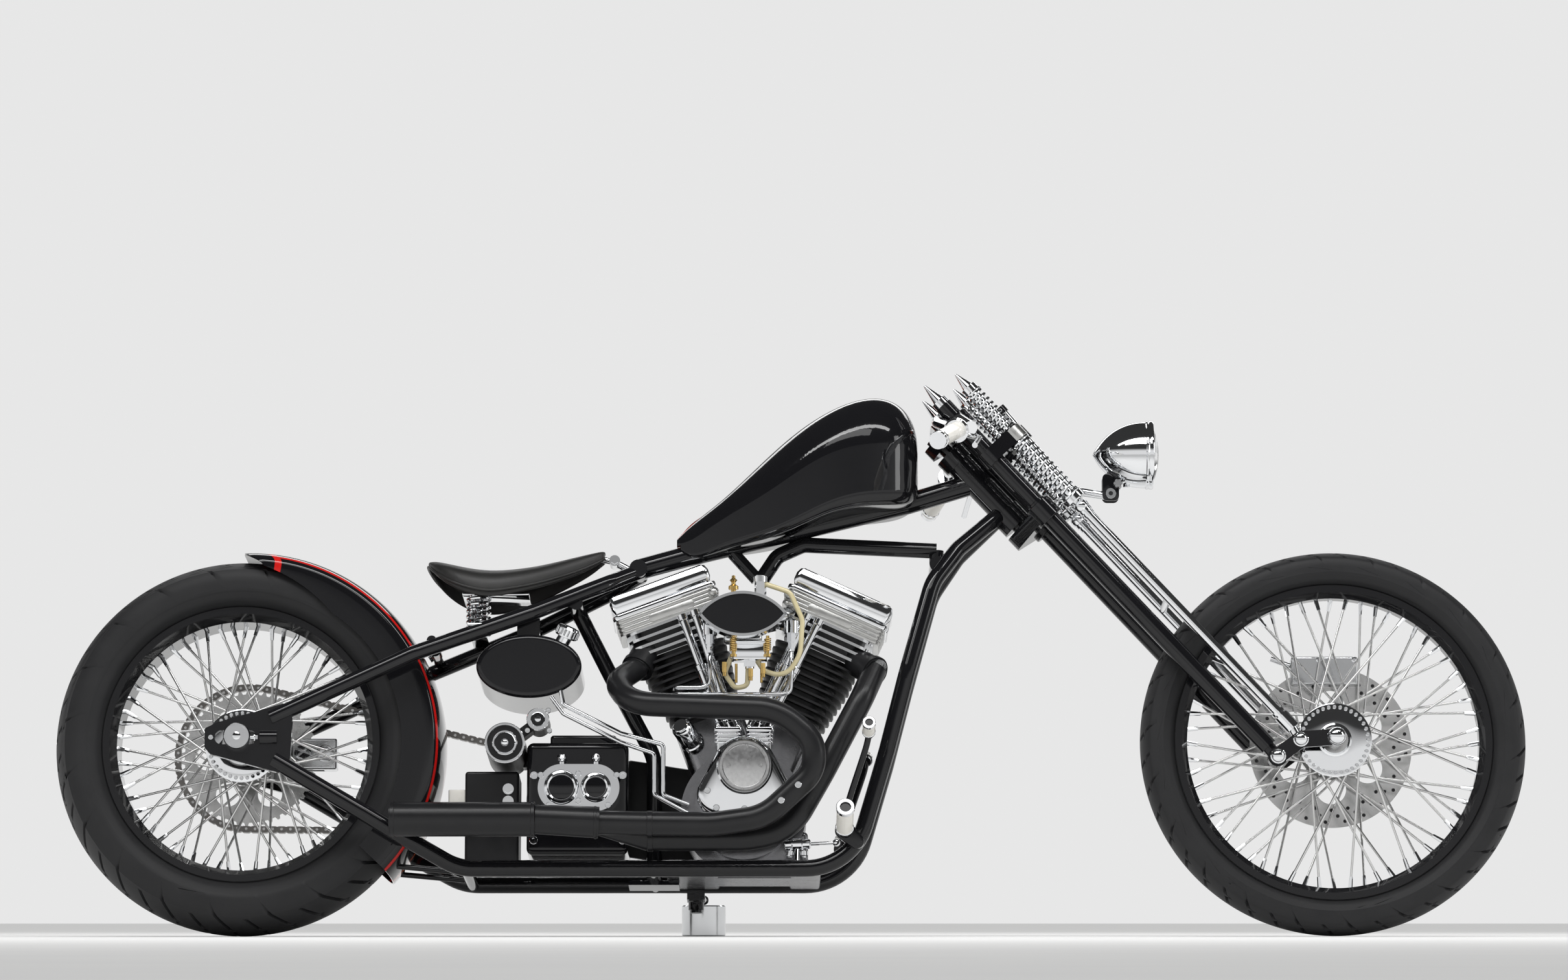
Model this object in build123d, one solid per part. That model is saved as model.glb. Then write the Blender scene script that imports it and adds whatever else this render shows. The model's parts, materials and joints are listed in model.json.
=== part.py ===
"""A long chopper motorcycle, parked on its side stand.

Every piece is drawn with the motorcycle upright: x runs forward, y to the
rider's left, z up, and z = 0 is the floor.  At the end the whole machine is
leaned to the left until its stand rests on a low metal block.
"""
import math
import os

from build123d import *

# Stance, in millimetres and degrees
LEAN = 6.5
BLOCK_RADIUS, BLOCK_HEIGHT = 40, 55

# Wheels: tyre radius and half width, axle place, and the rear tyre's foremost point
FRONT_RADIUS, FRONT_HALF = 346, 46
FRONT_AXLE = (972, 346)
REAR_RADIUS, REAR_HALF = 336, 97
REAR_TYRE_FRONT = -646
REAR_AXLE = (REAR_TYRE_FRONT - REAR_RADIUS, 336)
SPOKES, SPOKE_RADIUS, SPOKE_LACE = 60, 2.2, 48
FLANGE_RADIUS, FLANGE_PLACE = 61, 38

# Steering head and fork
HEAD, RAKE = (344.5, 812), 43.0
NECK_RADIUS, NECK_HALF, STEM_RADIUS = 25, 69, 12
LEG_AHEAD, LEG_SIDE, LEG_RADIUS = 42.6, 72, 16.5
ROD_AHEAD, ROD_RADIUS = 98, 9.5
LEG_TOP, LEG_BOTTOM = 149, -698
BRACE_GAP = 45
ROCKER_PIVOT = (FRONT_AXLE[0] - 105, FRONT_AXLE[1] - 35)
ROCKER_EYE = (FRONT_AXLE[0] - 64, FRONT_AXLE[1] - 4.5)

# Frame tubes
BACKBONE_RADIUS, RAIL_RADIUS, STAY_RADIUS = 19, 15, 14
RAIL_SIDE, RAIL_HEIGHT = 125, 106
PLATE_SIDE, PLATE_THICK = 140, 16
FENDER_GAP, FENDER_SIDE_GAP = 14, 9

# Engine
CRANK, BISECTOR, V_ANGLE = (-85, 213), 2.0, 45
CASE_RADIUS, CASE_HALF = 112, 75
BARREL_BASE, BARREL_TOP, HEAD_TOP, ROCKER_TOP = 150, 320, 402, 449
PIPE_RADIUS = 21.5
INTAKE = (-86, 549)
HOSE_RADIUS, LINE_RADIUS = 4.5, 4

# Final drive
CHAIN_SIDE, CHAIN_HALF, CHAIN_PITCH = 122, 8, 15.875
SPROCKET_TEETH, DRIVE_TEETH = 51, 24
GEARBOX_SHAFT = (-392, 262)


def vec(p):
    return Vector(*p)


def rod(p, q, r):
    """A round bar between two points."""
    a, b = vec(p), vec(q)
    return Solid.make_cylinder(r, (b - a).length, Plane(origin=a, z_dir=b - a))


def taper(p, q, r0, r1):
    """A cone between two points."""
    a, b = vec(p), vec(q)
    return Solid.make_cone(r0, r1, (b - a).length, Plane(origin=a, z_dir=b - a))


def tube(points, r, bend):
    """A round bar bent along a chain of points; bend is one radius, or one for each corner."""
    path = FilletPolyline(*points, radius=bend)
    return sweep(Plane(origin=path @ 0, z_dir=path % 0) * Circle(r), path=path).solid()


def across(x, z, r, y0, y1):
    """A round bar lying across the motorcycle."""
    return rod((x, y0, z), (x, y1, z), r)


def ring(x, z, r, bore, y0, y1):
    return across(x, z, r, y0, y1) - across(x, z, bore, y0 - 1, y1 + 1)


def slab(x0, x1, y0, y1, z0, z1, r=0):
    """A block between limits, with its edges rounded if a radius is given."""
    box = Pos((x0 + x1) / 2, (y0 + y1) / 2, (z0 + z1) / 2) * Box(x1 - x0, y1 - y0, z1 - z0)
    return fillet(box.edges(), r) if r else box


def link(p, q, r, y0, y1):
    """A flat bar with round ends, seen from the side."""
    dx, dz = q[0] - p[0], q[1] - p[1]
    place = Plane(origin=(p[0], y0, p[1]), x_dir=(dx, 0, dz), z_dir=(0, 1, 0))
    bar = SlotCenterPoint((math.hypot(dx, dz) / 2, 0), (math.hypot(dx, dz), 0), 2 * r)
    return extrude(place * bar, y1 - y0)


def plate(points, y0, y1, r=0):
    """A flat plate from a side outline of x, z points."""
    face = make_face(Polyline(*[(x, y0, z) for x, z in points], close=True))
    if r:
        face = fillet(face.vertices(), r)
    return extrude(face, y1 - y0, dir=(0, 1, 0))


def spun(points, axle):
    """A shape spun about an axle, from y, radius points; a third point bends the run."""
    runs = []
    for a, b in zip(points, points[1:] + points[:1]):
        start, end = a[:2], b[:2]
        if len(a) == 4:
            runs.append(ThreePointArc(start, a[2:], end))
        else:
            runs.append(Line(start, end))
    side = Plane(origin=(axle[0], 0, axle[1]), x_dir=(0, 1, 0), z_dir=(-1, 0, 0))
    face = side * make_face(runs)
    return revolve(face, Axis((axle[0], 0, axle[1]), (0, 1, 0))).solid()


def both(shape):
    """A piece and its twin on the other side."""
    return [shape, shape.mirror(Plane.XZ)]


def joined(*pieces):
    flat = []
    for piece in pieces:
        flat += list(piece) if isinstance(piece, (list, tuple)) else [piece]
    return flat[0].fuse(*flat[1:]) if len(flat) > 1 else flat[0]


def apart(*pieces):
    flat = []
    for piece in pieces:
        flat += list(piece) if isinstance(piece, (list, tuple)) else [piece]
    return Compound(flat)


RAKE_SIN, RAKE_COS = math.sin(math.radians(RAKE)), math.cos(math.radians(RAKE))
STEER_UP = (-RAKE_SIN, 0, RAKE_COS)
STEER_AHEAD = (RAKE_COS, 0, RAKE_SIN)
FORK = Plane(origin=(HEAD[0], 0, HEAD[1]), x_dir=STEER_AHEAD, z_dir=STEER_UP)


def fork_point(ahead, side, up):
    """A point given along the steering axis, as x, y, z."""
    p = FORK.from_local_coords(Vector(ahead, side, up))
    return (p.X, p.Y, p.Z)


def cylinder_plane(angle):
    """A place at the crank with z up one cylinder and x ahead across it."""
    s, c = math.sin(math.radians(angle)), math.cos(math.radians(angle))
    return Plane(origin=(CRANK[0], 0, CRANK[1]), x_dir=(c, 0, -s), z_dir=(s, 0, c))


CYLINDERS = [cylinder_plane(BISECTOR - V_ANGLE / 2), cylinder_plane(BISECTOR + V_ANGLE / 2)]


# Wheels

def tyre(axle, radius, half, seat, lip, lip_half):
    """A road tyre: bead, bulged side, shoulder and round crown."""
    side = seat + 0.48 * (radius - seat)
    shoulder = radius - 0.17 * (radius - seat) - 0.07 * half
    right = [
        (lip_half, seat), (lip_half, lip + 1), (lip_half + 3, lip + 3, half, side),
        (0.93 * half, shoulder, 0, radius),
    ]
    left = [
        (-0.93 * half, shoulder, -half, side), (-lip_half - 3, lip + 3),
        (-lip_half, lip + 1), (-lip_half, seat),
    ]
    return spun(right + left, axle)


def rim(axle, bed, well, lip, bed_half, well_half):
    """A rolled rim with a drop centre."""
    out = [
        (-bed_half - 4, lip), (-bed_half - 4, bed - 5), (-well_half - 2, well - 5),
        (well_half + 2, well - 5), (bed_half + 4, bed - 5), (bed_half + 4, lip),
        (bed_half, lip), (bed_half, bed), (well_half, well), (-well_half, well),
        (-bed_half, bed), (-bed_half, lip),
    ]
    return spun(out, axle)


def spokes(axle, ring_radius):
    """Laced spokes, alternate ones leaving the inside and outside of each flange."""
    bars = []
    per_side = SPOKES // 2
    step = 360 / per_side
    for side in (-1, 1):
        for i in range(per_side):
            turn = 1 if i % 2 else -1
            at_rim = math.radians(i * step + (step / 2 if side > 0 else 0))
            at_hub = at_rim + math.radians(turn * SPOKE_LACE)
            y_hub = side * (FLANGE_PLACE + 5 * turn)
            y_rim = side * (7 + 2 * turn)
            hub_r = FLANGE_RADIUS - 6
            start = (axle[0] + hub_r * math.cos(at_hub), y_hub, axle[1] + hub_r * math.sin(at_hub))
            end = (axle[0] + ring_radius * math.cos(at_rim), y_rim,
                   axle[1] + ring_radius * math.sin(at_rim))
            bars.append(rod(start, end, SPOKE_RADIUS))
    return bars


def hub(axle, bore, body, ends):
    """A hub barrel with two spoke flanges."""
    inner, outer = FLANGE_PLACE - 8, FLANGE_PLACE + 8
    rim_r = FLANGE_RADIUS
    profile = [
        (ends[0], bore), (ends[0], body), (-outer, body + 6), (-outer, rim_r), (-inner, rim_r),
        (-inner, body + 8), (0, body), (inner, body + 8), (inner, rim_r), (outer, rim_r),
        (outer, body + 6), (ends[1], body), (ends[1], bore),
    ]
    return spun(profile, axle)


def front_wheel():
    tread = tyre(FRONT_AXLE, FRONT_RADIUS, FRONT_HALF, 277.3, 284, 25.7)
    hoop = rim(FRONT_AXLE, 277, 267, 284, 26, 12)
    centre = hub(FRONT_AXLE, 8.3, 24, (-50, 46))
    cover = ring(*FRONT_AXLE, 66, 24, -50, -46)
    laced = joined(centre, cover, spokes(FRONT_AXLE, 261))
    disc = ring(*FRONT_AXLE, 146, 20, 46.2, 50.2)
    windows = []
    for i in range(6):
        a = math.radians(60 * i + 30)
        x, z = FRONT_AXLE[0] + 76 * math.cos(a), FRONT_AXLE[1] + 76 * math.sin(a)
        windows.append(across(x, z, 27, 40, 56))
    return {
        "front_tyre": tread, "front_rim": hoop, "front_hub_spokes": laced,
        "front_brake_disc": disc - windows,
    }


def sprocket(axle, teeth, tip, y0, y1, bore):
    """A toothed wheel with plain straight flanks."""
    points = []
    for i in range(teeth):
        for part, r in ((-0.32, tip - 6), (-0.14, tip), (0.14, tip), (0.32, tip - 6)):
            a = 2 * math.pi * (i + part) / teeth
            points.append((axle[0] + r * math.cos(a), axle[1] + r * math.sin(a)))
    return plate(points, y0, y1) - across(*axle, bore, y0 - 1, y1 + 1)


def pitch_radius(teeth):
    return CHAIN_PITCH / (2 * math.sin(math.pi / teeth))


def rear_wheel():
    tread = tyre(REAR_AXLE, REAR_RADIUS, REAR_HALF, 240.3, 247, 68.7)
    hoop = rim(REAR_AXLE, 240, 229, 247, 69, 43)
    centre = hub(REAR_AXLE, 12.3, 30, (-100, 100))
    laced = joined(centre, spokes(REAR_AXLE, 223))
    tip = pitch_radius(SPROCKET_TEETH) - 5.6
    wheel = sprocket(REAR_AXLE, SPROCKET_TEETH, tip, CHAIN_SIDE - 3, CHAIN_SIDE + 3, 15)
    for i in range(6):
        a = math.radians(60 * i)
        x, z = REAR_AXLE[0] + 76 * math.cos(a), REAR_AXLE[1] + 76 * math.sin(a)
        wheel -= across(x, z, 22, CHAIN_SIDE - 9, CHAIN_SIDE + 9)
    carrier = ring(*REAR_AXLE, 46, 15, 100.2, CHAIN_SIDE - 3)
    return {
        "rear_tyre": tread, "rear_rim": hoop, "rear_hub_spokes": laced,
        "rear_sprocket": joined(wheel, carrier),
    }


# Frame

def fork_rod(ahead, side, up0, up1, r):
    return rod(fork_point(ahead, side, up0), fork_point(ahead, side, up1), r)


NECK = joined(
    fork_rod(0, 0, -NECK_HALF, NECK_HALF, NECK_RADIUS),
    fork_rod(0, 0, NECK_HALF - 10, NECK_HALF + 16, NECK_RADIUS + 4),
    fork_rod(0, 0, -NECK_HALF - 26, -NECK_HALF + 10, NECK_RADIUS + 4),
)
NECK_BORE = fork_rod(0, 0, -200, 200, STEM_RADIUS + 0.3)
BACKBONE = tube([(326, 0, 819), (209, 0, 783), (-188, 0, 687), (-275, 0, 663)], BACKBONE_RADIUS, 80)


def cradle(side):
    """One downtube, lower rail and chain stay, bent from a single tube."""
    points = [
        (372, side * 16, 757), (300, side * 50, 692), (253, side * 80, 626),
        (206, side * 110, 458), (170, side * 112, 318), (107.5, side * RAIL_SIDE, RAIL_HEIGHT),
        (-590, side * RAIL_SIDE, RAIL_HEIGHT), (-690, side * 142, 162),
        (-760, side * 147, 204), (REAR_AXLE[0] + 64, side * 148, 297),
    ]
    return tube(points, RAIL_RADIUS, [60, 90, 150, 150, 110, 100, 100, 60])


def stay(side):
    """One upper stay, from the backbone's end to the axle plate."""
    points = [
        (-270, side * 24, 657), (-326, side * 60, 629), (-465, side * 104, 567),
        (-671, side * 147, 488), (REAR_AXLE[0] + 58, side * 148, 371),
    ]
    return tube(points, STAY_RADIUS, 60)


def axle_plate(side):
    """A plate with an open adjuster slot behind the axle."""
    # ahead of the axle, height
    outline = [
        (-58, 318), (-48, 306), (77, 272), (94, 296), (98, 392), (80, 396), (-38, 362), (-58, 352),
    ]
    outline = [(REAR_AXLE[0] + ahead, height) for ahead, height in outline]
    y0 = side * PLATE_SIDE
    body = plate(outline, min(y0, y0 + side * PLATE_THICK), max(y0, y0 + side * PLATE_THICK), 5)
    slot = link((REAR_AXLE[0] - 28, REAR_AXLE[1]), (REAR_AXLE[0] + 22, REAR_AXLE[1]), 12.5, -200, 200)
    return body - slot


def frame():
    rails = {1: cradle(1), -1: cradle(-1)}
    stays = [stay(1), stay(-1)]
    plates = {1: axle_plate(1), -1: axle_plate(-1)}
    mount_tube = tube([(262, 0, 697), (22, 0, 708), (-25, 0, 687), (-56, 0, 640)], 14, 30)
    strut = rod((-116, 0, 705), (-62, 0, 645), 12)
    bridge = across(-275, 658, 16, -46, 46)
    front_bar = across(262, 662, 14, -70, 70)
    post_top = rod((262, 0, 697), (262, 0, 662), 13)
    spine = joined(NECK, BACKBONE, mount_tube, strut, bridge, post_top, front_bar) - NECK_BORE
    post = tube([(-385, 0, 588), (-322, 0, 464), (-245, 0, 320), (-245, 0, RAIL_HEIGHT)], STAY_RADIUS, 80)
    low_bar = across(-245, RAIL_HEIGHT, STAY_RADIUS, -RAIL_SIDE, RAIL_SIDE)
    top_bar = across(-385, 588, 12, -85, 85)
    rear_bar = across(-575, RAIL_HEIGHT, 12, -RAIL_SIDE, RAIL_SIDE)
    pad = slab(-290, -200, -45, 45, RAIL_HEIGHT - 20, RAIL_HEIGHT - 12.5)
    fender_bar = across(-640, 512, 9, -140, 140)
    middle = joined(post, low_bar, top_bar, rear_bar, pad, fender_bar)
    upper = joined(stays, middle, plates[1], plates[-1]) - spine
    nodes = {"frame_backbone": spine, "frame_rear": upper}
    for side, name in ((-1, "frame_cradle_right"), (1, "frame_cradle_left")):
        tubes = joined(rails[side], stand_bracket()) if side > 0 else rails[side]
        nodes[name] = (tubes - spine) - upper
    return nodes


# Tank, seat and fender

def section(x, half, low, high, top_round, foot_round):
    """A rounded cross section of the tank or seat at one place along it."""
    width, height = 2 * half, high - low
    at = Plane(origin=(x, 0, (low + high) / 2), x_dir=(0, 1, 0), z_dir=(1, 0, 0))
    shape = Rectangle(width, height)
    upper = shape.vertices().sort_by(Axis.Y)[2:]
    shape = fillet(upper, min(top_round, 0.96 * half, 0.96 * height))
    lower = shape.vertices().sort_by(Axis.Y)[:2]
    shape = fillet(lower, foot_round)
    return at * shape


def tank():
    # x, half width, lower edge, top, top rounding, lower rounding
    stations = [
        (-206, 16, 700, 716, 8, 5), (-141, 46, 686, 775, 40, 10), (-71, 74, 702, 838, 64, 14),
        (22, 104, 731, 919, 88, 18), (116, 122, 760, 966, 98, 22), (180, 108, 766, 967, 92, 24),
        (214, 78, 775, 938, 64, 24), (228, 44, 800, 892, 36, 20),
    ]
    body = loft([section(*row) for row in stations])
    roof = [(-230, 696.7), (205, 801.9), (260, 819.5), (260, 600), (-230, 600)]
    shell = body - plate(roof, -19.3, 19.3)
    return {"fuel_tank": shell.solid()}


def seat():
    # x, half width, lower edge, top, top rounding, lower rounding
    stations = [
        (-655, 40, 655, 679, 10, 8), (-620, 94, 616, 672, 22, 8), (-540, 112, 590, 660, 24, 8),
        (-450, 84, 612, 673, 26, 8), (-380, 44, 644, 693, 24, 8), (-334, 22, 672, 701, 14, 8),
    ]
    body = loft([section(*row) for row in stations])
    hinge = joined(
        link((-352, 684), (-318, 676), 7, -14, 14), across(-318, 676, 10, -22, 22),
        rod((-318, 0, 676), (-278, 0, 655), 7),
    ) - BACKBONE - across(-275, 658, 16, -46, 46)
    pan = plate([(-590, 606), (-470, 606), (-470, 612), (-590, 612)], -60, 60)
    bed = slab(-578, -548, -132, 132, 540, 545)
    coils = [spring((-563, side * 55, 545), (-563, side * 55, 606), 10, 21, 7) for side in (-1, 1)]
    metal = apart(hinge, joined(coils, pan, bed) - joined(stay(1), stay(-1)))
    return {"seat": (body - hinge) - metal, "seat_springs": metal}


def spring(p, q, core, outer, turns):
    """A coil spring drawn as a sleeve of round rolls."""
    a, b = vec(p), vec(q)
    length = (b - a).length
    step = length / turns
    runs = [Line((core, 0), (outer - step / 2, 0))]
    for i in range(turns):
        low, high = i * step, (i + 1) * step
        edge = outer - step / 2
        runs.append(ThreePointArc((edge, low), (outer, (low + high) / 2), (edge, high)))
    runs += [Line((outer - step / 2, length), (core, length)), Line((core, length), (core, 0))]
    place = Plane(origin=a, z_dir=b - a)
    face = make_face([Plane.XZ * run for run in runs])
    return (place * revolve(face, Axis.Z)).solid()


def fender():
    """A rear fender hugging the top and front of the tyre, with its stays."""
    centre, wall = (REAR_AXLE[0] + FENDER_GAP, REAR_AXLE[1]), 3.5
    crown, half = REAR_RADIUS + FENDER_GAP, REAR_HALF + FENDER_SIDE_GAP
    lip, shoulder = crown - 32, crown - 20
    outer = [(-half, lip), (-half, shoulder), (0, crown), (half, shoulder), (half, lip)]
    inner = [
        (half - wall, lip), (half - wall, shoulder - 1), (0, crown - wall),
        (-half + wall, shoulder - 1), (-half + wall, lip),
    ]
    runs = [
        Line(outer[0], outer[1]), ThreePointArc(outer[1], outer[2], outer[3]),
        Line(outer[3], outer[4]), Line(outer[4], inner[0]), Line(inner[0], inner[1]),
        ThreePointArc(inner[1], inner[2], inner[3]), Line(inner[3], inner[4]),
        Line(inner[4], outer[0]),
    ]
    start, end = 93, -43
    a = math.radians(start)
    side = Plane(origin=(centre[0], 0, centre[1]), x_dir=(0, 1, 0),
                 z_dir=(math.sin(a), 0, -math.cos(a)))
    face = side * make_face(runs)
    shell = revolve(face, Axis((centre[0], 0, centre[1]), (0, 1, 0)), start - end).solid()
    tab = link((-640, 512), (-656, 500), 6, -30, 30) - across(-640, 512, 9, -140, 140)
    rods = both(rod((-708, 60, RAIL_HEIGHT + 12), (-577, 60, RAIL_HEIGHT), 5)
                - across(-575, RAIL_HEIGHT, 12, 0, 100))
    return {"rear_fender": joined(shell, tab, rods)}


# Engine and gearbox

def finned(place, rows):
    """A stack of rounded fins on a core; rows give height, half length, half width, radius."""
    slabs = []
    for low, high, ahead, wide, r in rows:
        shape = RectangleRounded(2 * ahead, 2 * wide, r)
        slabs.append(extrude(place * (Pos(0, 0, low) * shape), high - low))
    return joined(*slabs)


def head_rows():
    """Core and fins of a cylinder head."""
    rows = [(BARREL_TOP, HEAD_TOP, 66, 62, 20), (HEAD_TOP - 8, HEAD_TOP, 94, 72, 16)]
    for low in range(BARREL_TOP + 6, HEAD_TOP - 8, 14):
        rows.append((low, low + 5, 86, 74, 20))
    return rows


def barrel_rows():
    """Core and fins of a barrel, wider towards the top."""
    rows = [(BARREL_BASE + 32, BARREL_TOP, 56, 58, 40)]
    for low in range(BARREL_BASE + 40, BARREL_TOP - 4, 13):
        half = min(78, 64 + (low - BARREL_BASE - 40) * 0.16)
        rows.append((low, low + 4, half, 76, 34))
    return rows


def rear_pipe():
    return tube([
        (-273, -62.5, 476), (-313, -120, 439), (-285, -185, 392), (-25, -185, 382), (72, -185, 300),
        (-47, -185, 190), (-139, -185, 177), (-253, -185, 178),
    ], PIPE_RADIUS, [60, 60, 110, 62, 100, 200])


def front_pipe():
    return tube([
        (149, -80, 468), (125, -116, 410), (56, -138, 276), (-5, -138, 169), (-82, -138, 157),
        (-253, -138, 157),
    ], PIPE_RADIUS, [80, 200, 100, 150])


def engine():
    case = joined(
        across(*CRANK, CASE_RADIUS, -CASE_HALF, CASE_HALF),
        across(*CRANK, 88, -100, 135.8),
        slab(-150, 30, -70, 70, RAIL_HEIGHT - 10, 180, 10),
    )
    reach = RAIL_SIDE - RAIL_RADIUS - 0.2
    for x0, x1 in ((-4, 52), (-222, -128)):
        case = case.fuse(slab(x0, x1, -reach, reach, RAIL_HEIGHT - 10, RAIL_HEIGHT + 18, 6))
    barrels, heads, boxes = [], [], []
    # exhaust port's inner end, outer end, and the pipe seated in it
    ports = [
        ((-250, -30, 524), (-277, -68, 470), rear_pipe()),
        ((108, -36, 494), (151, -84, 462), front_pipe()),
    ]
    for place, (inner, outer, pipe) in zip(CYLINDERS, ports):
        base = extrude(place * (Pos(0, 0, 60) * RectangleRounded(124, 120, 20)), BARREL_BASE + 32 - 60)
        case = case.fuse(base)
        barrels.append(finned(place, barrel_rows()))
        port = rod(inner, outer, PIPE_RADIUS + 4) - barrels[-1]
        heads.append((finned(place, head_rows()).fuse(port) - pipe).solids().sort_by(SortBy.VOLUME)[-1])
        cover = extrude(place * (Pos(0, 0, HEAD_TOP) * RectangleRounded(196, 146, 14)), 12)
        lid = extrude(place * (Pos(0, 0, HEAD_TOP + 12) * RectangleRounded(188, 138, 14)),
                      ROCKER_TOP - HEAD_TOP - 12)
        top = lid.faces().sort_by(lambda f: (place.to_local_coords(f.center())).Z)[-1]
        boxes.append(joined(cover, fillet(top.edges(), 8)))
    case = (case - joined(*barrels)).solids().sort_by(SortBy.VOLUME)[-1]
    pushrods, lifters = [], []
    # cylinder, place along its head, foot's x
    for index, shift, foot_x in ((0, 20, -122), (0, 44, -104), (1, -44, -66), (1, -20, -46)):
        top = CYLINDERS[index].from_local_coords(Vector(shift, -84, HEAD_TOP - 30))
        pushrods.append(joined(rod((foot_x, -98, 366), (top.X, top.Y, top.Z), 7),
                               rod((foot_x, -98, 360), (foot_x, -98, 378), 8.6)))
    gear = plate([(-172, 236), (-150, 194), (-20, 194), (14, 236), (-10, 318), (-150, 318)],
                 -124, -100, 18)
    gear = joined(gear, across(-83, 287, 50, -138, -124))
    for x in (-113, -56):
        lifters.append(slab(x - 22, x + 22, -112, -86, 306, 360))
    points = joined(across(-83, 287, 44, -146, -138), across(-83, 287, 36, -149, -146))
    return {
        "crankcase": case, "cylinders": apart(*barrels), "cylinder_heads": apart(*heads),
        "rocker_boxes": apart(*boxes), "pushrod_tubes": apart(*pushrods),
        "timing_cover": joined(gear, points, lifters),
    }


def intake():
    """Carburettor between the cylinders with a pointed oval air cleaner."""
    x, z = INTAKE
    half, high = 79, 40.5
    upper = ThreePointArc((x - half, -214, z), (x, -214, z + high), (x + half, -214, z))
    lower = ThreePointArc((x + half, -214, z), (x, -214, z - high), (x - half, -214, z))
    shape = make_face([upper, lower])
    cleaner = extrude(shape, 38, dir=(0, 1, 0))
    body = joined(
        across(x, z, 27, -176, -120), slab(x - 34, x + 34, -160, -118, z - 42, z + 30, 6),
        across(x, z, 22, -120, -20), slab(x - 24, x + 24, -156, -122, z - 74, z - 40, 6),
        rod((x, -42, z), (-150, -42, 576), 19), rod((x, -42, z), (4, -42, 572), 19),
        rod((x + 28, -138, z + 24), (x + 31, -138, z + 80), 8),
    )
    for place in CYLINDERS:
        body -= finned(place, head_rows())
    body = body.solids().sort_by(SortBy.VOLUME)[-1]
    feed = tube([
        (x + 31, -138, z + 68), (x + 84, -138, z + 50), (x + 106, -138, z), (x + 102, -138, z - 62),
        (x + 76, -138, z - 103), (x + 38, -138, z - 92), (x + 16, -138, z - 60),
    ], HOSE_RADIUS, [20, 32, 60, 32, 18])
    overflow = tube([
        (x - 18, -138, z - 60), (x - 33, -138, z - 96), (x - 14, -138, z - 123), (x + 8, -138, z - 118),
        (x + 10, -138, z - 60),
    ], HOSE_RADIUS, [14, 12, 10])
    return {
        "air_cleaner": cleaner, "carburettor": body,
        "fuel_hoses": apart(feed - body, (overflow - body) - feed),
    }


def breather_lines():
    """Two bright lines from the barrels, led back along the right side of the engine."""
    lower = tube([
        (-28, -66, 488), (-28, -114, 488), (-3, -114, 466), (-3, -114, 430), (-26, -114, 418),
        (-205, -114, 419), (-211, -66, 419),
    ], LINE_RADIUS, [8, 10, 10, 10, 9])
    upper = tube([(-126, -66, 488), (-126, -114, 488), (-147, -114, 455), (-196, -114, 421)],
                 LINE_RADIUS, [8, 14])
    ends = [rod((x, -66, z), (x, -82, z), 8) for x, z in ((-28, 488), (-126, 488), (-210, 419))]
    pipes = joined(lower, upper, ends)
    for place in CYLINDERS:
        pipes -= finned(place, barrel_rows())
    return {"breather_lines": pipes.solids().sort_by(SortBy.VOLUME)[-1]}


def exhaust():
    rear, front = rear_pipe(), front_pipe()
    can = rod((-453, -191, 185), (-709, -191, 185), 30.5) - rod((-640, -191, 185), (-720, -191, 185), 22)
    join = joined(rod((-253, -185, 178), (-340, -185, 180), PIPE_RADIUS),
                  taper((-253, -138, 157), (-360, -178, 178), PIPE_RADIUS, 14),
                  taper((-340, -185, 180), (-453, -191, 185), 28, 26))
    return {"exhaust_rear_pipe": rear, "exhaust_front_pipe": front,
            "muffler": (joined(join, can) - rear) - front}


def driveline():
    body = joined(slab(-471, -290, -92, 92, 135, 336, 12), slab(-430, -312, -70, 70, 330, 352, 6))
    cover = link((-408, 250), (-347, 250), 42, -128, -92)
    ports = [across(-408, 250, 29, -134, -120), across(-347, 250, 25, -134, -120)]
    x, z = GEARBOX_SHAFT
    tip = pitch_radius(DRIVE_TEETH) - 5.6
    drive = sprocket(GEARBOX_SHAFT, DRIVE_TEETH, tip, CHAIN_SIDE - 3, CHAIN_SIDE + 3, 15)
    shaft = across(x, z, 15, 92, 136)
    primary = joined(link(CRANK, GEARBOX_SHAFT, 88, 136, 172), across(x, z, 78, 172, 186),
                     across(*CRANK, 62, 172, 182))
    starter = joined(
        across(-509, 330, 36, -125, 60), across(-509, 330, 22, -130, -125),
        across(-451, 374, 20, -112, -30), link((-509, 330), (-451, 374), 9, -95, -50),
        link((-509, 330), (-480, 322), 16, 20, 60),
    ) - body
    battery = slab(-582, -486, -62, 62, RAIL_HEIGHT + 12.2, 288, 6)
    return {
        "gearbox": joined(body, drive, shaft), "gearbox_cover": joined(cover, *ports),
        "primary_cover": primary, "starter_motor": starter, "battery_box": battery,
    }


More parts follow.
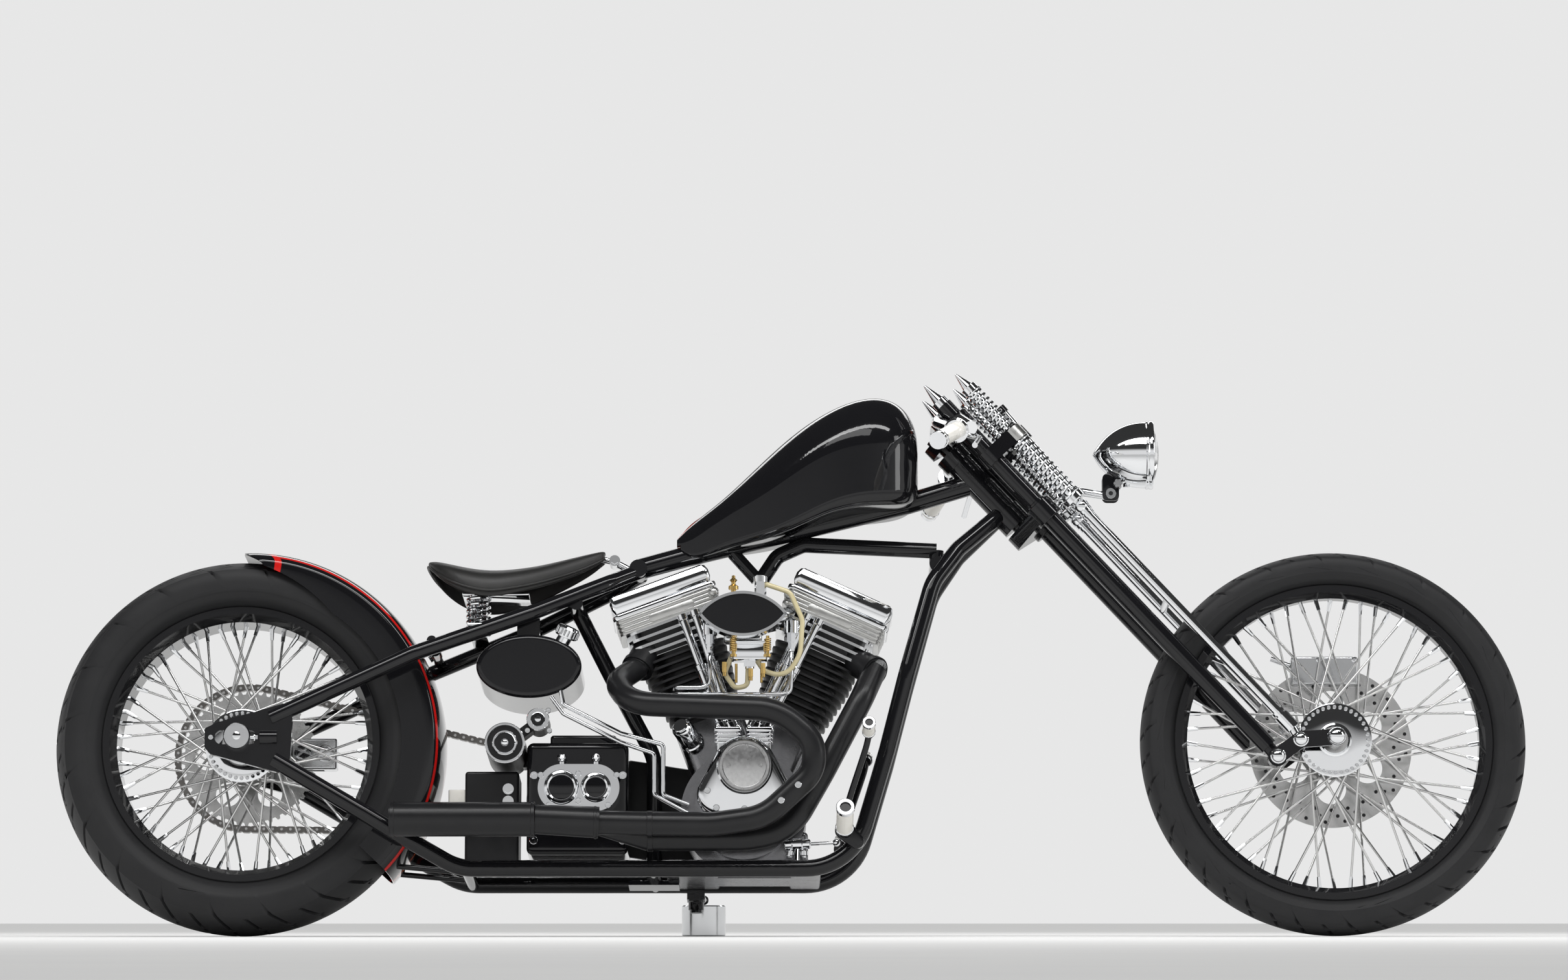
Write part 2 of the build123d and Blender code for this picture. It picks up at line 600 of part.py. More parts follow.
def chain():
    """A fixed loop of links around both sprockets, waisted between its pins."""
    big, small = pitch_radius(SPROCKET_TEETH), pitch_radius(DRIVE_TEETH)
    ax, az = REAR_AXLE
    bx, bz = GEARBOX_SHAFT
    run = math.hypot(bx - ax, bz - az)
    base = math.atan2(bz - az, bx - ax)
    spread = math.acos((big - small) / run)
    straight = math.sqrt(run * run - (big - small) ** 2)
    rear_turn, front_turn = 2 * math.pi - 2 * spread, 2 * spread
    total = 2 * straight + rear_turn * big + front_turn * small
    count = 2 * round(total / CHAIN_PITCH / 2)

    def at(s, offset):
        s = s % total
        if s < rear_turn * big:
            a = base + spread + s / big
            return (ax + (big + offset) * math.cos(a), az + (big + offset) * math.sin(a))
        s -= rear_turn * big
        if s < straight:
            a = base - spread
            t = a + math.pi / 2
            x, z = ax + (big + offset) * math.cos(a), az + (big + offset) * math.sin(a)
            return (x + s * math.cos(t), z + s * math.sin(t))
        s -= straight
        if s < front_turn * small:
            a = base - spread + s / small
            return (bx + (small + offset) * math.cos(a), bz + (small + offset) * math.sin(a))
        s -= front_turn * small
        a = base + spread
        t = a + math.pi / 2
        x, z = bx + (small + offset) * math.cos(a), bz + (small + offset) * math.sin(a)
        return (x + s * math.cos(t), z + s * math.sin(t))

    step = total / count
    # part of a link, outer edge, inner edge
    wave = ((0.0, 6.5, -5.2), (0.3, 6.5, -5.2), (0.5, 4.6, -4.2), (0.7, 6.5, -5.2))
    outer = [at((i + part) * step, high) for i in range(count) for part, high, low in wave]
    inner = [at((i + part) * step, low) for i in range(count) for part, high, low in wave]
    return {"drive_chain": plate(outer, CHAIN_SIDE - CHAIN_HALF, CHAIN_SIDE + CHAIN_HALF)
            - plate(inner, CHAIN_SIDE - CHAIN_HALF - 1, CHAIN_SIDE + CHAIN_HALF + 1)}


def oil():
    centre = (-468, 471)
    place = Plane(origin=(centre[0], -112, centre[1]), x_dir=(1, 0, 0), z_dir=(0, 1, 0))
    body = extrude(place * Ellipse(94, 57), 224)
    body = fillet(body.edges(), 9)
    neck = joined(rod((-418, -92, 500), (-400, -100, 531), 13),
                  rod((-402, -99, 527), (-396, -102, 540), 19))
    legs = joined(both(slab(-490, -450, 60, 90, 500, 562)))
    lines = []
    for shift in (0, 16):
        lines.append(tube([
            (-412 - shift, -104, 432 - shift), (-406, -104, 402 - shift), (-303, -104, 350 - shift),
            (-228 - shift, -104, 330 - shift), (-228 - shift, -104, 240), (-182, -104, 222 - shift),
        ], 4, 8))
    holder = joined(body, legs) - joined(stay(1), stay(-1))
    return {"oil_tank": holder, "oil_lines": apart(neck - body, *[line - body for line in lines])}


def foot_controls(side):
    """A peg on a bracket plate, with a pedal and its toe peg."""
    def at(x, y, z):
        return (x, side * y, z)

    mount = slab(78, 136, *sorted((side * 130, side * 147)), 142, 192)
    stem = rod(at(94, 140, 168), at(94, 156, 173), 9)
    pedal = joined(
        rod(at(126, 140, 152), at(126, 158, 152), 9),
        tube([at(126, 152, 152), at(133, 160, 230), at(137, 178, 338)], 5.5, 40),
        rod(at(137, 174, 338), at(137, 184, 341), 8),
    )
    peg = rod(at(94, 156, 173), at(95, 232, 200), 15)
    toe = rod(at(137, 184, 341), at(137, 224, 352), 11)
    metal = joined(mount, stem, pedal)
    return metal, apart(peg - metal, toe - metal)


def brakes_and_axles():
    ax, az = REAR_AXLE
    nut = across(ax, az, 19, 156.2, 176)
    axle = joined(across(ax, az, 12, -168, 168), both(nut))
    spacers = joined(ring(ax, az, 20, 12, -139.8, -101), ring(ax, az, 20, 12, 126.5, 139.8))
    x0, x1 = ax + 77, ax + 160
    rear = joined(
        slab(x0, x1, 128, 139.8, 314, 370, 4), slab(x0, x1, 100, 116, 314, 370, 4),
        slab(x1 - 26, x1, 104, 136, 314, 370, 4),
    )
    fx, fz = FRONT_AXLE
    front = slab(fx - 70, fx + 50, 34, 80, fz + 112, fz + 164, 4)
    front -= slab(fx - 92, fx + 88, 42.5, 54, fz + 54, fz + 152)
    arm = link((fx + 26, fz + 130), (fx, fz), 9, 72, 80)
    return {
        "rear_axle": joined(axle, spacers), "rear_caliper": rear,
        "front_caliper": joined(front, arm) - across(fx, fz, 13, 40, 90),
    }


# Fork

def bridge_plate(places, up0, up1):
    """A flat yoke: a plate around round bosses, in the fork's own frame."""
    outline = make_hull([Pos(a, y) * Circle(r).edge() for a, y, r in places])
    return (FORK * extrude(Pos(0, 0, up0) * outline, up1 - up0)).solid()


def lamp_stay():
    """The bent rod and lug that carry the headlamp."""
    return joined(
        tube([(384, 0, 952), (506, 0, 808), (577, 0, 797)], 7, 30), rod((377, 0, 960), (386, 0, 950), 10),
        slab(566, 588, -10, 10, 792, 836),
    )


def fork():
    legs = []
    for side in (-1, 1):
        y = side * LEG_SIDE
        x, z = ROCKER_PIVOT
        leg = joined(
            fork_rod(LEG_AHEAD, y, LEG_BOTTOM, LEG_TOP, LEG_RADIUS),
            rod(fork_point(LEG_AHEAD, y, LEG_BOTTOM + 4), (x, y, z), 12),
            rod((x, side * 57, z), (x, side * 84, z), 17),
        )
        legs.append(leg)
    bosses = [(LEG_AHEAD, -LEG_SIDE, 25), (LEG_AHEAD, LEG_SIDE, 25), (0, 0, 30)]
    yokes = joined(
        bridge_plate(bosses, -128, -102), bridge_plate(bosses, 96, 118),
        fork_rod(0, 0, -128, 118, STEM_RADIUS), fork_rod(0, 0, 118, 126, 17),
    )
    yokes = yokes - joined(*legs)
    rods, springs, spikes = [], [], []
    x, z = ROCKER_EYE
    bore = ROD_RADIUS + 0.2
    for side in (-1, 1):
        y = side * LEG_SIDE
        rods.append(joined(
            fork_rod(ROD_AHEAD, y, -700, 131.5, ROD_RADIUS),
            fork_rod(ROD_AHEAD, y, -704, -672, 14),
            rod(fork_point(ROD_AHEAD, y, -700), (x, y, z), 9),
            rod((x, side * 60, z), (x, side * 84, z), 13),
        ))
        for low, high, wide, turns in ((36, 131.5, 17, 9), (-128, 8, 20, 11)):
            springs.append(spring(fork_point(ROD_AHEAD, y, low), fork_point(ROD_AHEAD, y, high),
                                  bore, wide, turns))
        cup = fork_rod(ROD_AHEAD, y, -142, -128, 22)
        springs.append(cup - fork_rod(ROD_AHEAD, y, -150, -100, bore))
        for ahead, low, tip in ((LEG_AHEAD, LEG_TOP, 199), (ROD_AHEAD, 131.5, 176)):
            spikes.append(joined(fork_rod(ahead, y, low, low + 12, 15),
                                 taper(fork_point(ahead, y, low + 12), fork_point(ahead, y, tip), 11, 2)))
    bridge = []
    for side in (-1, 1):
        y = side * LEG_SIDE
        bridge.append(bridge_plate([(LEG_AHEAD, y, 23), (ROD_AHEAD, y, 20)], 8.2, 35.8))
    cross = rod(fork_point(ROD_AHEAD, -60, 22), fork_point(ROD_AHEAD, 60, 22), 9)
    lug = joined(fork_rod(120, 0, 8, 36, 13), rod(fork_point(98, 0, 22), fork_point(120, 0, 22), 8))
    bridge = joined(bridge, cross, lug, lamp_stay()) - joined(*legs)
    for side in (-1, 1):
        bridge -= fork_rod(ROD_AHEAD, side * LEG_SIDE, 0, 40, bore)
    hub_spot = FORK.to_local_coords(Vector(FRONT_AXLE[0], 0, FRONT_AXLE[1]))
    reach = FRONT_RADIUS + BRACE_GAP
    brace_up = hub_spot.Z + math.sqrt(reach ** 2 - (ROD_AHEAD - hub_spot.X) ** 2)
    inset = LEG_SIDE - ROD_RADIUS / 2
    brace = rod(fork_point(ROD_AHEAD, -inset, brace_up), fork_point(ROD_AHEAD, inset, brace_up), 7)
    rockers, nuts = [], []
    fx, fz = FRONT_AXLE
    axle = joined(
        across(fx, fz, 8, -104, 104), ring(fx, fz, 13, 8, -84, -51.5), ring(fx, fz, 13, 8, 51.5, 84),
        across(fx, fz, 14, -108, -92.2), across(fx, fz, 14, 92.2, 108),
    )
    for side in (-1, 1):
        y0, y1 = sorted((side * 84.2, side * 92.2))
        rockers.append(joined(link(ROCKER_PIVOT, ROCKER_EYE, 14.5, y0, y1),
                              link(ROCKER_EYE, FRONT_AXLE, 14.5, y0, y1)) - axle)
        for x, z in (ROCKER_PIVOT, ROCKER_EYE):
            y2, y3 = sorted((side * 92.2, side * 101))
            nuts.append(across(x, z, 11, y2, y3))
    return {
        "fork_legs": apart(*legs), "fork_yokes": yokes, "fork_rods": joined(rods[0], rods[1], brace),
        "fork_springs": apart(*springs), "fork_spikes": apart(*spikes), "fork_bridge": bridge,
        "fork_rockers": apart(*rockers), "front_axle": apart(axle, *nuts),
    }


def cockpit():
    bar = tube([
        (293, -252, 872), (285, -150, 896), (263.5, -80, 918), (262, -40, 926),
        (262, 40, 926), (263.5, 80, 918), (285, 150, 896), (293, 252, 872),
    ], 11, 50)
    risers = both(rod(fork_point(16, 38, 118), fork_point(16, 38, 140), 11.5))
    bar = joined(bar, risers)
    grips, caps, controls = [], [], []
    for side in (-1, 1):
        inner, outer = (294, side * 252.2, 872), (259, side * 366, 833)
        grips.append(rod(inner, outer, 15))
        end = (256.5, side * 374, 830)
        caps.append(rod(outer, end, 15.5))
        clamp = rod((292, side * 236, 876.5), (293, side * 250, 872.5), 20)
        lever = tube([(306, side * 240, 866), (334, side * 262, 856), (322, side * 362, 824)], 5, 16)
        tank = rod((300, side * 190, 900), (318, side * 238, 878), 13)
        controls.append((joined(clamp, lever, tank) - bar) - grips[-1])
    bar = (bar - grips[0]) - grips[1]
    ends = [cap - grip for cap, grip in zip(caps, grips)]
    return {"handlebar": bar, "grips": apart(*grips), "hand_controls": apart(ends, controls)}


def headlamp():
    z = 873
    runs = [
        ThreePointArc((545, z), (580, z + 42), (640, z + 60)), Line((640, z + 60), (642, z + 62.5)),
        Line((642, z + 62.5), (654, z + 62.5)), Line((654, z + 62.5), (654, z + 55)),
        Line((654, z + 55), (648, z + 55)), Line((648, z + 55), (648, z)), Line((648, z), (545, z)),
    ]
    shell = revolve(make_face([Plane.XZ * r for r in runs]), Axis((0, 0, z), (1, 0, 0))).solid()
    edge, bulge, front = 54.7, 13, 665
    bow = (edge ** 2 + bulge ** 2) / (2 * bulge)
    half = math.asin(edge / bow) / 2
    middle = (front - bow + bow * math.cos(half), z + bow * math.sin(half))
    glass = [
        Line((648.2, z), (648.2, z + edge)), Line((648.2, z + edge), (front - bulge, z + edge)),
        ThreePointArc((front - bulge, z + edge), middle, (front, z)), Line((front, z), (648.2, z)),
    ]
    lens = revolve(make_face([Plane.XZ * r for r in glass]), Axis((0, 0, z), (1, 0, 0))).solid()
    return {"headlamp_shell": shell - lamp_stay(), "headlamp_lens": lens}


# Stand

STAND_PIVOT, STAND_FOOT = (-172, 150), (-160, 300, 99)


def stand_bracket():
    """A plate under the left rail with the stand's pin."""
    x, y = STAND_PIVOT
    inner, outer = RAIL_SIDE - 13, RAIL_SIDE + 13
    return joined(
        slab(x - 16, x + 16, inner, y + 13, 78.4, 84),
        slab(x - 16, x + 16, inner, outer, 80, RAIL_HEIGHT - 6),
        rod((x, y, 58), (x, y, 80), 6), rod((x, y, 58), (x, y, 63), 11),
    )


def stand():
    """The leg that swings on the pin."""
    x, y = STAND_PIVOT
    leg = joined(
        rod((x, y, 63.5), (x, y, 77.5), 14),
        tube([(x, y + 6, 70.5), (x, y + 24, 71), (x + 4, y + 75, 92), STAND_FOOT], 6.8, 10),
        Pos(*STAND_FOOT) * Sphere(9),
    ) - rod((x, y, 50), (x, y, 90), 6.2)
    return {"side_stand": leg}


def controls():
    right, right_pegs = foot_controls(-1)
    left, left_pegs = foot_controls(1)
    rails = joined(cradle(1), cradle(-1))
    return {
        "foot_controls": apart((right - rails).solids(), (left - rails).solids()),
        "footpegs": apart(right_pegs.solids(), left_pegs.solids()),
    }


def upright():
    """Every piece with the motorcycle upright, by name."""
    nodes = {}
    groups = (
        frame, front_wheel, rear_wheel, tank, seat, fender, engine, intake, breather_lines, exhaust,
        driveline, chain, oil, controls, brakes_and_axles, fork, cockpit, headlamp, stand,
    )
    for group in groups:
        nodes.update(group())
    return nodes


def leaned(shape):
    return Rot(-LEAN, 0, 0) * shape


def parked():
    """The pieces leaned on the stand and block, with the origin under the middle."""
    nodes = {}
    for name, shape in upright().items():
        solids = shape if isinstance(shape, list) else [shape]
        nodes[name] = leaned(Compound([s for item in solids for s in item.solids()]))
    floor = min(nodes["rear_tyre"].bounding_box().min.Z, nodes["front_tyre"].bounding_box().min.Z)
    foot = leaned(Pos(*STAND_FOOT) * Sphere(9)).bounding_box()
    block = Solid.make_cylinder(BLOCK_RADIUS, foot.min.Z - 0.4 - floor)
    nodes["stand_block"] = Pos(foot.center().X, foot.center().Y, floor) * chamfer(block.edges(), 2)
    boxes = [shape.bounding_box() for shape in nodes.values()]
    middle_x = (min(b.min.X for b in boxes) + max(b.max.X for b in boxes)) / 2
    middle_y = (min(b.min.Y for b in boxes) + max(b.max.Y for b in boxes)) / 2
    shift = (-middle_x, -middle_y, -floor)
    return {name: Pos(*shift) * shape for name, shape in nodes.items()}, shift


def main():
    os.makedirs("parts", exist_ok=True)
    nodes, shift = parked()
    for name, shape in nodes.items():
        solids = shape.solids()
        export_step(solids[0] if len(solids) == 1 else Compound(solids), f"parts/{name}.step")
    print("shift", [round(v, 4) for v in shift], "nodes", len(nodes))


if __name__ == "__main__":
    main()
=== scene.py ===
import json
import math

import bmesh
import bpy
from mathutils import Matrix, Vector


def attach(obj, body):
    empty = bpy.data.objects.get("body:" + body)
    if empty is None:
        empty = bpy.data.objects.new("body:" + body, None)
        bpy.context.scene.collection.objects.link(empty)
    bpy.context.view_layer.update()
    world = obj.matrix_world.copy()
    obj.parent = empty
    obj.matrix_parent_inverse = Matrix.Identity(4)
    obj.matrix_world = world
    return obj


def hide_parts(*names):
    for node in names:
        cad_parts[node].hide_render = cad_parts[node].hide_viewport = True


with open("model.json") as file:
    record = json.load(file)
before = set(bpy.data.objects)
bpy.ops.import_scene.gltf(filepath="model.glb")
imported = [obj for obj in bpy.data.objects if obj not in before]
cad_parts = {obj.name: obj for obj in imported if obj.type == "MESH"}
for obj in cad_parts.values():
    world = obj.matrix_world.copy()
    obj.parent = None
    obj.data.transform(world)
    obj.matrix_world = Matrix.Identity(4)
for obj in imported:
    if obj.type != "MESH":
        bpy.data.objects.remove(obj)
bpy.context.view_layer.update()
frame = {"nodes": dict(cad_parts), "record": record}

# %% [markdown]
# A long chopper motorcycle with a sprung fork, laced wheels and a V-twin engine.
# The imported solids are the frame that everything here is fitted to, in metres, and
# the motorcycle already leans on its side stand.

NODES = frame["nodes"]
scene = bpy.context.scene

# %% [markdown]
# Every place on a motorcycle is easiest to give with the machine upright: x forward,
# y to the rider's left, z up from the floor, in millimetres. One matrix then leans it
# onto its stand. The rear axle, which the record's joint gives, ties the two together.

# %% The leaning frame
LEAN = math.radians(-6.5)
JOINTS = {joint["name"]: joint for joint in frame["record"]["behaviour"]["joints"]}
REAR_AXLE = Vector((-982, 0, 336))
FRONT_AXLE = Vector((972, 0, 346))
HEAD = Vector((344.5, 0, 812))
RAKE = math.radians(43)
TURN = Matrix.Rotation(LEAN, 4, "X") @ Matrix.Scale(0.001, 4)
AXLE_AT = Vector(JOINTS["rear_wheel_spin"]["pos_m"])
PARKED = Matrix.Translation(AXLE_AT - TURN @ REAR_AXLE) @ TURN
FORK = Matrix.Translation(HEAD) @ Matrix.Rotation(-RAKE, 4, "Y")
miss = PARKED @ FRONT_AXLE - Vector(JOINTS["front_wheel_spin"]["pos_m"])
print("front axle misses its joint by", miss.length)

# %% [markdown]
# The photograph was taken from floor level with a long lens, square to the right side.
# The camera stands twelve metres away, just above the floor, and looks up a little, so
# that the machine fills the frame as it does in the picture. Its lens is worked out from
# the picture's width and the lens's length in pixels.

# %% Camera
PHOTO_WIDTH = 2420
FOCAL_PIXELS = 10344
HORIZON_ROW = 1419
MIDDLE_ROW = 756
CAMERA_PLACE = (-0.013, -12.095, 0.03)
camera_data = bpy.data.cameras.new("side_camera")
camera_data.sensor_width = 36
camera_data.lens = FOCAL_PIXELS / PHOTO_WIDTH * camera_data.sensor_width
camera_data.clip_end = 60
camera = bpy.data.objects.new("side_camera", camera_data)
scene.collection.objects.link(camera)
camera.location = CAMERA_PLACE
look_up = math.atan((HORIZON_ROW - MIDDLE_ROW) / FOCAL_PIXELS)
camera.rotation_euler = (math.radians(90) + look_up, 0, 0)
scene.camera = camera
print("lens", round(camera_data.lens, 1), "mm")

# %% [markdown]
# Each finish is a small node tree on Object coordinates: a noise moves the colour and the
# gloss a little, as polishing, dust and handling do, so that no surface is one flat value.
# One helper makes a node and feeds it, with plain values or with another node's output, and
# a second one lays out the tree, so that each finish below says only what it is.

# %% Helpers for finishes
COAT_ROUGHNESS = 0.03
GRAIN_DEPTH = 0.001


def feed(tree, sockets, values):
    """Sets each socket to a value, or links it where the value is another node's output."""
    for key, value in values.items():
        if isinstance(value, bpy.types.NodeSocket):
            tree.links.new(value, sockets[key])
        else:
            sockets[key].default_value = value


def node(tree, kind, inputs, **settings):
    """Makes a node, sets it up, feeds it and returns its outputs."""
    made = tree.nodes.new("ShaderNode" + kind)
    for key, value in settings.items():
        setattr(made, key, value)
    feed(tree, made.inputs, inputs)
    return made.outputs


def finish(name, dark, light, scale, rough, metal=0.0, coat=0.0, bump=0.0, bump_scale=400.0,
           shine=0.5, detail=4):
    """A finish whose colour and gloss drift between two values over the piece."""
    material = bpy.data.materials.new(name)
    material.use_nodes = True
    tree = material.node_tree
    place = node(tree, "TexCoord", {})["Object"]
    noise = node(tree, "TexNoise", {"Vector": place, "Scale": scale, "Detail": detail})["Fac"]
    colours = {"A": (*dark, 1), "B": (*light, 1), "Factor": noise}
    gloss = {"To Min": rough[0], "To Max": rough[1], "Value": noise}
    surface = {
        "Base Color": node(tree, "Mix", colours, data_type="RGBA")["Result"],
        "Roughness": node(tree, "MapRange", gloss)["Result"],
        "Metallic": metal, "Specular IOR Level": shine,
        "Coat Weight": coat, "Coat Roughness": COAT_ROUGHNESS,
    }
    if bump:
        grain = node(tree, "TexNoise", {"Vector": place, "Scale": bump_scale, "Detail": 5})
        relief = {"Height": grain["Fac"], "Strength": bump, "Distance": GRAIN_DEPTH}
        surface["Normal"] = node(tree, "Bump", relief)["Normal"]
    feed(tree, tree.nodes["Principled BSDF"].inputs, surface)
    return material


# %% [markdown]
# The machine stands on a plain pale studio floor. A curved backdrop would do as well, but a
# flat grid that reaches far past the camera's view is simpler, and it meets the background
# without a seam from any side.

# %% Floor
scene.view_settings.view_transform = "Standard"
FLOOR_REACH = 40


def lay_floor():
    bm = bmesh.new()
    bmesh.ops.create_grid(bm, x_segments=1, y_segments=1, size=FLOOR_REACH)
    mesh = bpy.data.meshes.new("floor")
    bm.to_mesh(mesh)
    bm.free()
    floor = bpy.data.objects.new("floor", mesh)
    scene.collection.objects.link(floor)
    mesh.materials.append(finish("studio_floor", (0.70, 0.70, 0.70), (0.74, 0.74, 0.73), 3,
                                 (0.9, 0.9), shine=0.1, detail=2))


lay_floor()
print("floor", 2 * FLOOR_REACH, "m wide")

# %% [markdown]
# Black paint and chrome are made of what they reflect, so the sky above the pale horizon is
# dim and a long soft box hangs over the machine. Tubes then get one bright line along the top,
# a pale band where they mirror the horizon, and the floor's light below. An image of a real
# studio could light the scene too, but a ramp and four lamps can each be tuned.

# %% Background and lamps
PALE, DIM, DOME = 0.80, 0.035, 0.80
HORIZON_EDGE, DIM_FROM = 0.19, 0.33


def grey(value):
    return (value, value, value, 1)


def light_world():
    """Even light on matt surfaces; what mirrors see is pale at the horizon and dim overhead."""
    world = bpy.data.worlds.new("studio")
    scene.world = world
    world.use_nodes = True
    tree = world.node_tree
    toward = node(tree, "TexCoord", {})["Generated"]
    ramp = tree.nodes.new("ShaderNodeValToRGB")
    low, high = ramp.color_ramp.elements
    low.position, low.color = HORIZON_EDGE, grey(PALE)
    high.position, high.color = DIM_FROM, grey(DIM)
    feed(tree, ramp.inputs, {"Fac": node(tree, "SeparateXYZ", {"Vector": toward})["Z"]})
    backdrop = node(tree, "Background", {"Color": ramp.outputs["Color"]})["Background"]
    dome = tree.nodes["Background"]
    dome.inputs["Color"].default_value = grey(DOME)
    path = node(tree, "LightPath", {})
    seen = path["Is Camera Ray"]
    for ray in ("Is Glossy Ray", "Is Transmission Ray"):
        seen = node(tree, "Math", {0: seen, 1: path[ray]}, operation="MAXIMUM")["Value"]
    mix = node(tree, "MixShader", {"Fac": seen, 1: dome.outputs["Background"], 2: backdrop})
    tree.links.new(mix["Shader"], tree.nodes["World Output"].inputs["Surface"])


def soft_box(name, place, target, wide, high, watts):
    lamp = bpy.data.lights.new(name, "AREA")
    lamp.shape = "RECTANGLE"
    lamp.size = wide
    lamp.size_y = high
    lamp.energy = watts
    box = bpy.data.objects.new(name, lamp)
    scene.collection.objects.link(box)
    box.location = place
    way = Vector(target) - Vector(place)
    box.rotation_euler = way.to_track_quat("-Z", "Y").to_euler()


light_world()
soft_box("over_box", (0.1, -1.4, 2.8), (0, 0, 0.5), wide=4.4, high=0.32, watts=48)
soft_box("fill_box", (-0.6, -3.4, 4.2), (0, 0, 0.4), wide=4.0, high=1.2, watts=46)
soft_box("nose_box", (3.8, -1.2, 1.9), (0.6, 0, 0.5), wide=0.8, high=1.4, watts=14)
soft_box("rear_box", (0, 2.8, 2.4), (0, 0, 0.6), wide=4.4, high=0.55, watts=22)
print("lamps:", len(bpy.data.lights))

# %% [markdown]
# The machine is black and bright metal: deep gloss paint on frame, tank, fender and rims, a
# satin coating on the exhaust, and everything else chromed, polished or cast. Ivory grips
# and pegs, black leather and dark rubber are the only other surfaces. Each finish gives its
# darkest and lightest colour, the size of its noise and its range of roughness.

# %% Finishes of the machine
GLOSS_BLACK = finish("gloss_black_paint", (0.005, 0.005, 0.006), (0.008, 0.008, 0.009), 9,
                     (0.10, 0.16), coat=0.75, shine=0.05)
SATIN_BLACK = finish("satin_black_coating", (0.009, 0.009, 0.010), (0.014, 0.014, 0.015), 30,
                     (0.26, 0.34), bump=0.05, shine=0.32)
CHROME = finish("chrome_plate", (0.80, 0.81, 0.83), (0.88, 0.89, 0.90), 12,
                (0.03, 0.09), metal=1)
POLISHED = finish("polished_alloy", (0.66, 0.67, 0.68), (0.78, 0.79, 0.80), 25,
                  (0.12, 0.24), metal=1)
CAST = finish("cast_alloy", (0.20, 0.20, 0.21), (0.32, 0.32, 0.33), 40,
              (0.20, 0.32), metal=1, bump=0.08)
FIN_BLACK = finish("black_barrel_paint", (0.010, 0.010, 0.011), (0.020, 0.020, 0.021), 60,
                   (0.36, 0.50), shine=0.3)
STAINLESS = finish("stainless_steel", (0.62, 0.62, 0.62), (0.75, 0.75, 0.74), 60,
                   (0.16, 0.28), metal=1)
RUBBER = finish("tyre_rubber", (0.013, 0.013, 0.014), (0.022, 0.022, 0.023), 18,
                (0.46, 0.62), bump=0.12, bump_scale=900, shine=0.28)
IVORY = finish("ivory_sleeve", (0.74, 0.72, 0.66), (0.82, 0.80, 0.75), 25, (0.22, 0.34))
LEATHER = finish("black_leather", (0.010, 0.010, 0.010), (0.020, 0.019, 0.018), 40,
                 (0.36, 0.52), bump=0.35, bump_scale=700)
CHAIN_STEEL = finish("oiled_chain_steel", (0.16, 0.15, 0.14), (0.32, 0.31, 0.30), 120,
                     (0.25, 0.42), metal=1)
BLACK_CASE = finish("black_moulding", (0.010, 0.010, 0.011), (0.018, 0.018, 0.019), 35,
                    (0.28, 0.40), shine=0.3)
BRUSHED = finish("brushed_alloy", (0.52, 0.52, 0.51), (0.64, 0.64, 0.62), 90,
                 (0.26, 0.38), metal=1, bump=0.05)
ENGINE_TURNED = finish("engine_turned_alloy", (0.46, 0.46, 0.46), (0.72, 0.72, 0.72), 160,
                       (0.20, 0.42), metal=1)
BRASS = finish("brass_fitting", (0.62, 0.42, 0.14), (0.74, 0.52, 0.20), 60,
               (0.20, 0.32), metal=1)
HOSE = finish("clear_fuel_hose", (0.50, 0.43, 0.24), (0.64, 0.57, 0.36), 30,
              (0.10, 0.20), coat=0.6)
LENS = finish("headlamp_glass", (0.93, 0.94, 0.95), (0.98, 0.98, 0.98), 14, (0.0, 0.04))
feed(LENS.node_tree, LENS.node_tree.nodes["Principled BSDF"].inputs,
     {"Transmission Weight": 1.0, "IOR": 1.45})
print("finishes:", len(bpy.data.materials))

# %% [markdown]
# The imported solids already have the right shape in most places, so they keep it and only
# get a finish. A short table says which solid has which one.

# %% Finishes on the solids
WORN_BY = {
    GLOSS_BLACK: ("frame_backbone", "frame_cradle_left", "frame_cradle_right", "frame_rear",
                  "fuel_tank", "rear_fender", "oil_tank", "fork_legs", "fork_rockers",
                  "front_rim", "rear_rim", "side_stand", "gearbox", "foot_controls",
                  "fork_yokes", "fork_bridge"),
    SATIN_BLACK: ("exhaust_front_pipe", "exhaust_rear_pipe", "muffler"),
    CHROME: ("rocker_boxes", "pushrod_tubes", "gearbox_cover", "fork_rods", "fork_springs",
             "fork_spikes", "headlamp_shell", "handlebar", "hand_controls", "seat_springs",
             "oil_lines", "breather_lines", "front_axle", "rear_axle"),
    POLISHED: ("cylinder_heads", "timing_cover", "primary_cover", "stand_block",
               "carburettor", "front_caliper", "rear_caliper"),
    CAST: ("crankcase",),
    FIN_BLACK: ("cylinders",),
    STAINLESS: ("front_hub_spokes", "rear_hub_spokes", "front_brake_disc", "rear_sprocket"),
    RUBBER: ("front_tyre", "rear_tyre"),
    IVORY: ("grips", "footpegs"),
    LEATHER: ("seat",),
    CHAIN_STEEL: ("drive_chain",),
    BLACK_CASE: ("battery_box", "starter_motor", "air_cleaner"),
    LENS: ("headlamp_lens",),
    HOSE: ("fuel_hoses",),
}
for material, names in WORN_BY.items():
    for name in names:
        slots = NODES[name].data.materials
        slots.clear()
        slots.append(material)
bare = set(NODES) - {name for names in WORN_BY.values() for name in names}
print("solids without a finish:", sorted(bare))

# %% [markdown]
# New pieces are drawn upright in millimetres, like the measurements, and leaned at the end.
# One function closes a mesh and leans it, another draws a rod or a bead as a curve with a
# round bevel, and both hand the result to the body that carries it.

# %% Helpers for finished pieces
MERGE = 0.005


def hand_over(name, data, body, material):
    """Makes an object of a mesh or a curve, and lets it ride a body."""
    data.materials.append(material)
    made = bpy.data.objects.new(name, data)
    scene.collection.objects.link(made)
    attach(made, body)
    return made


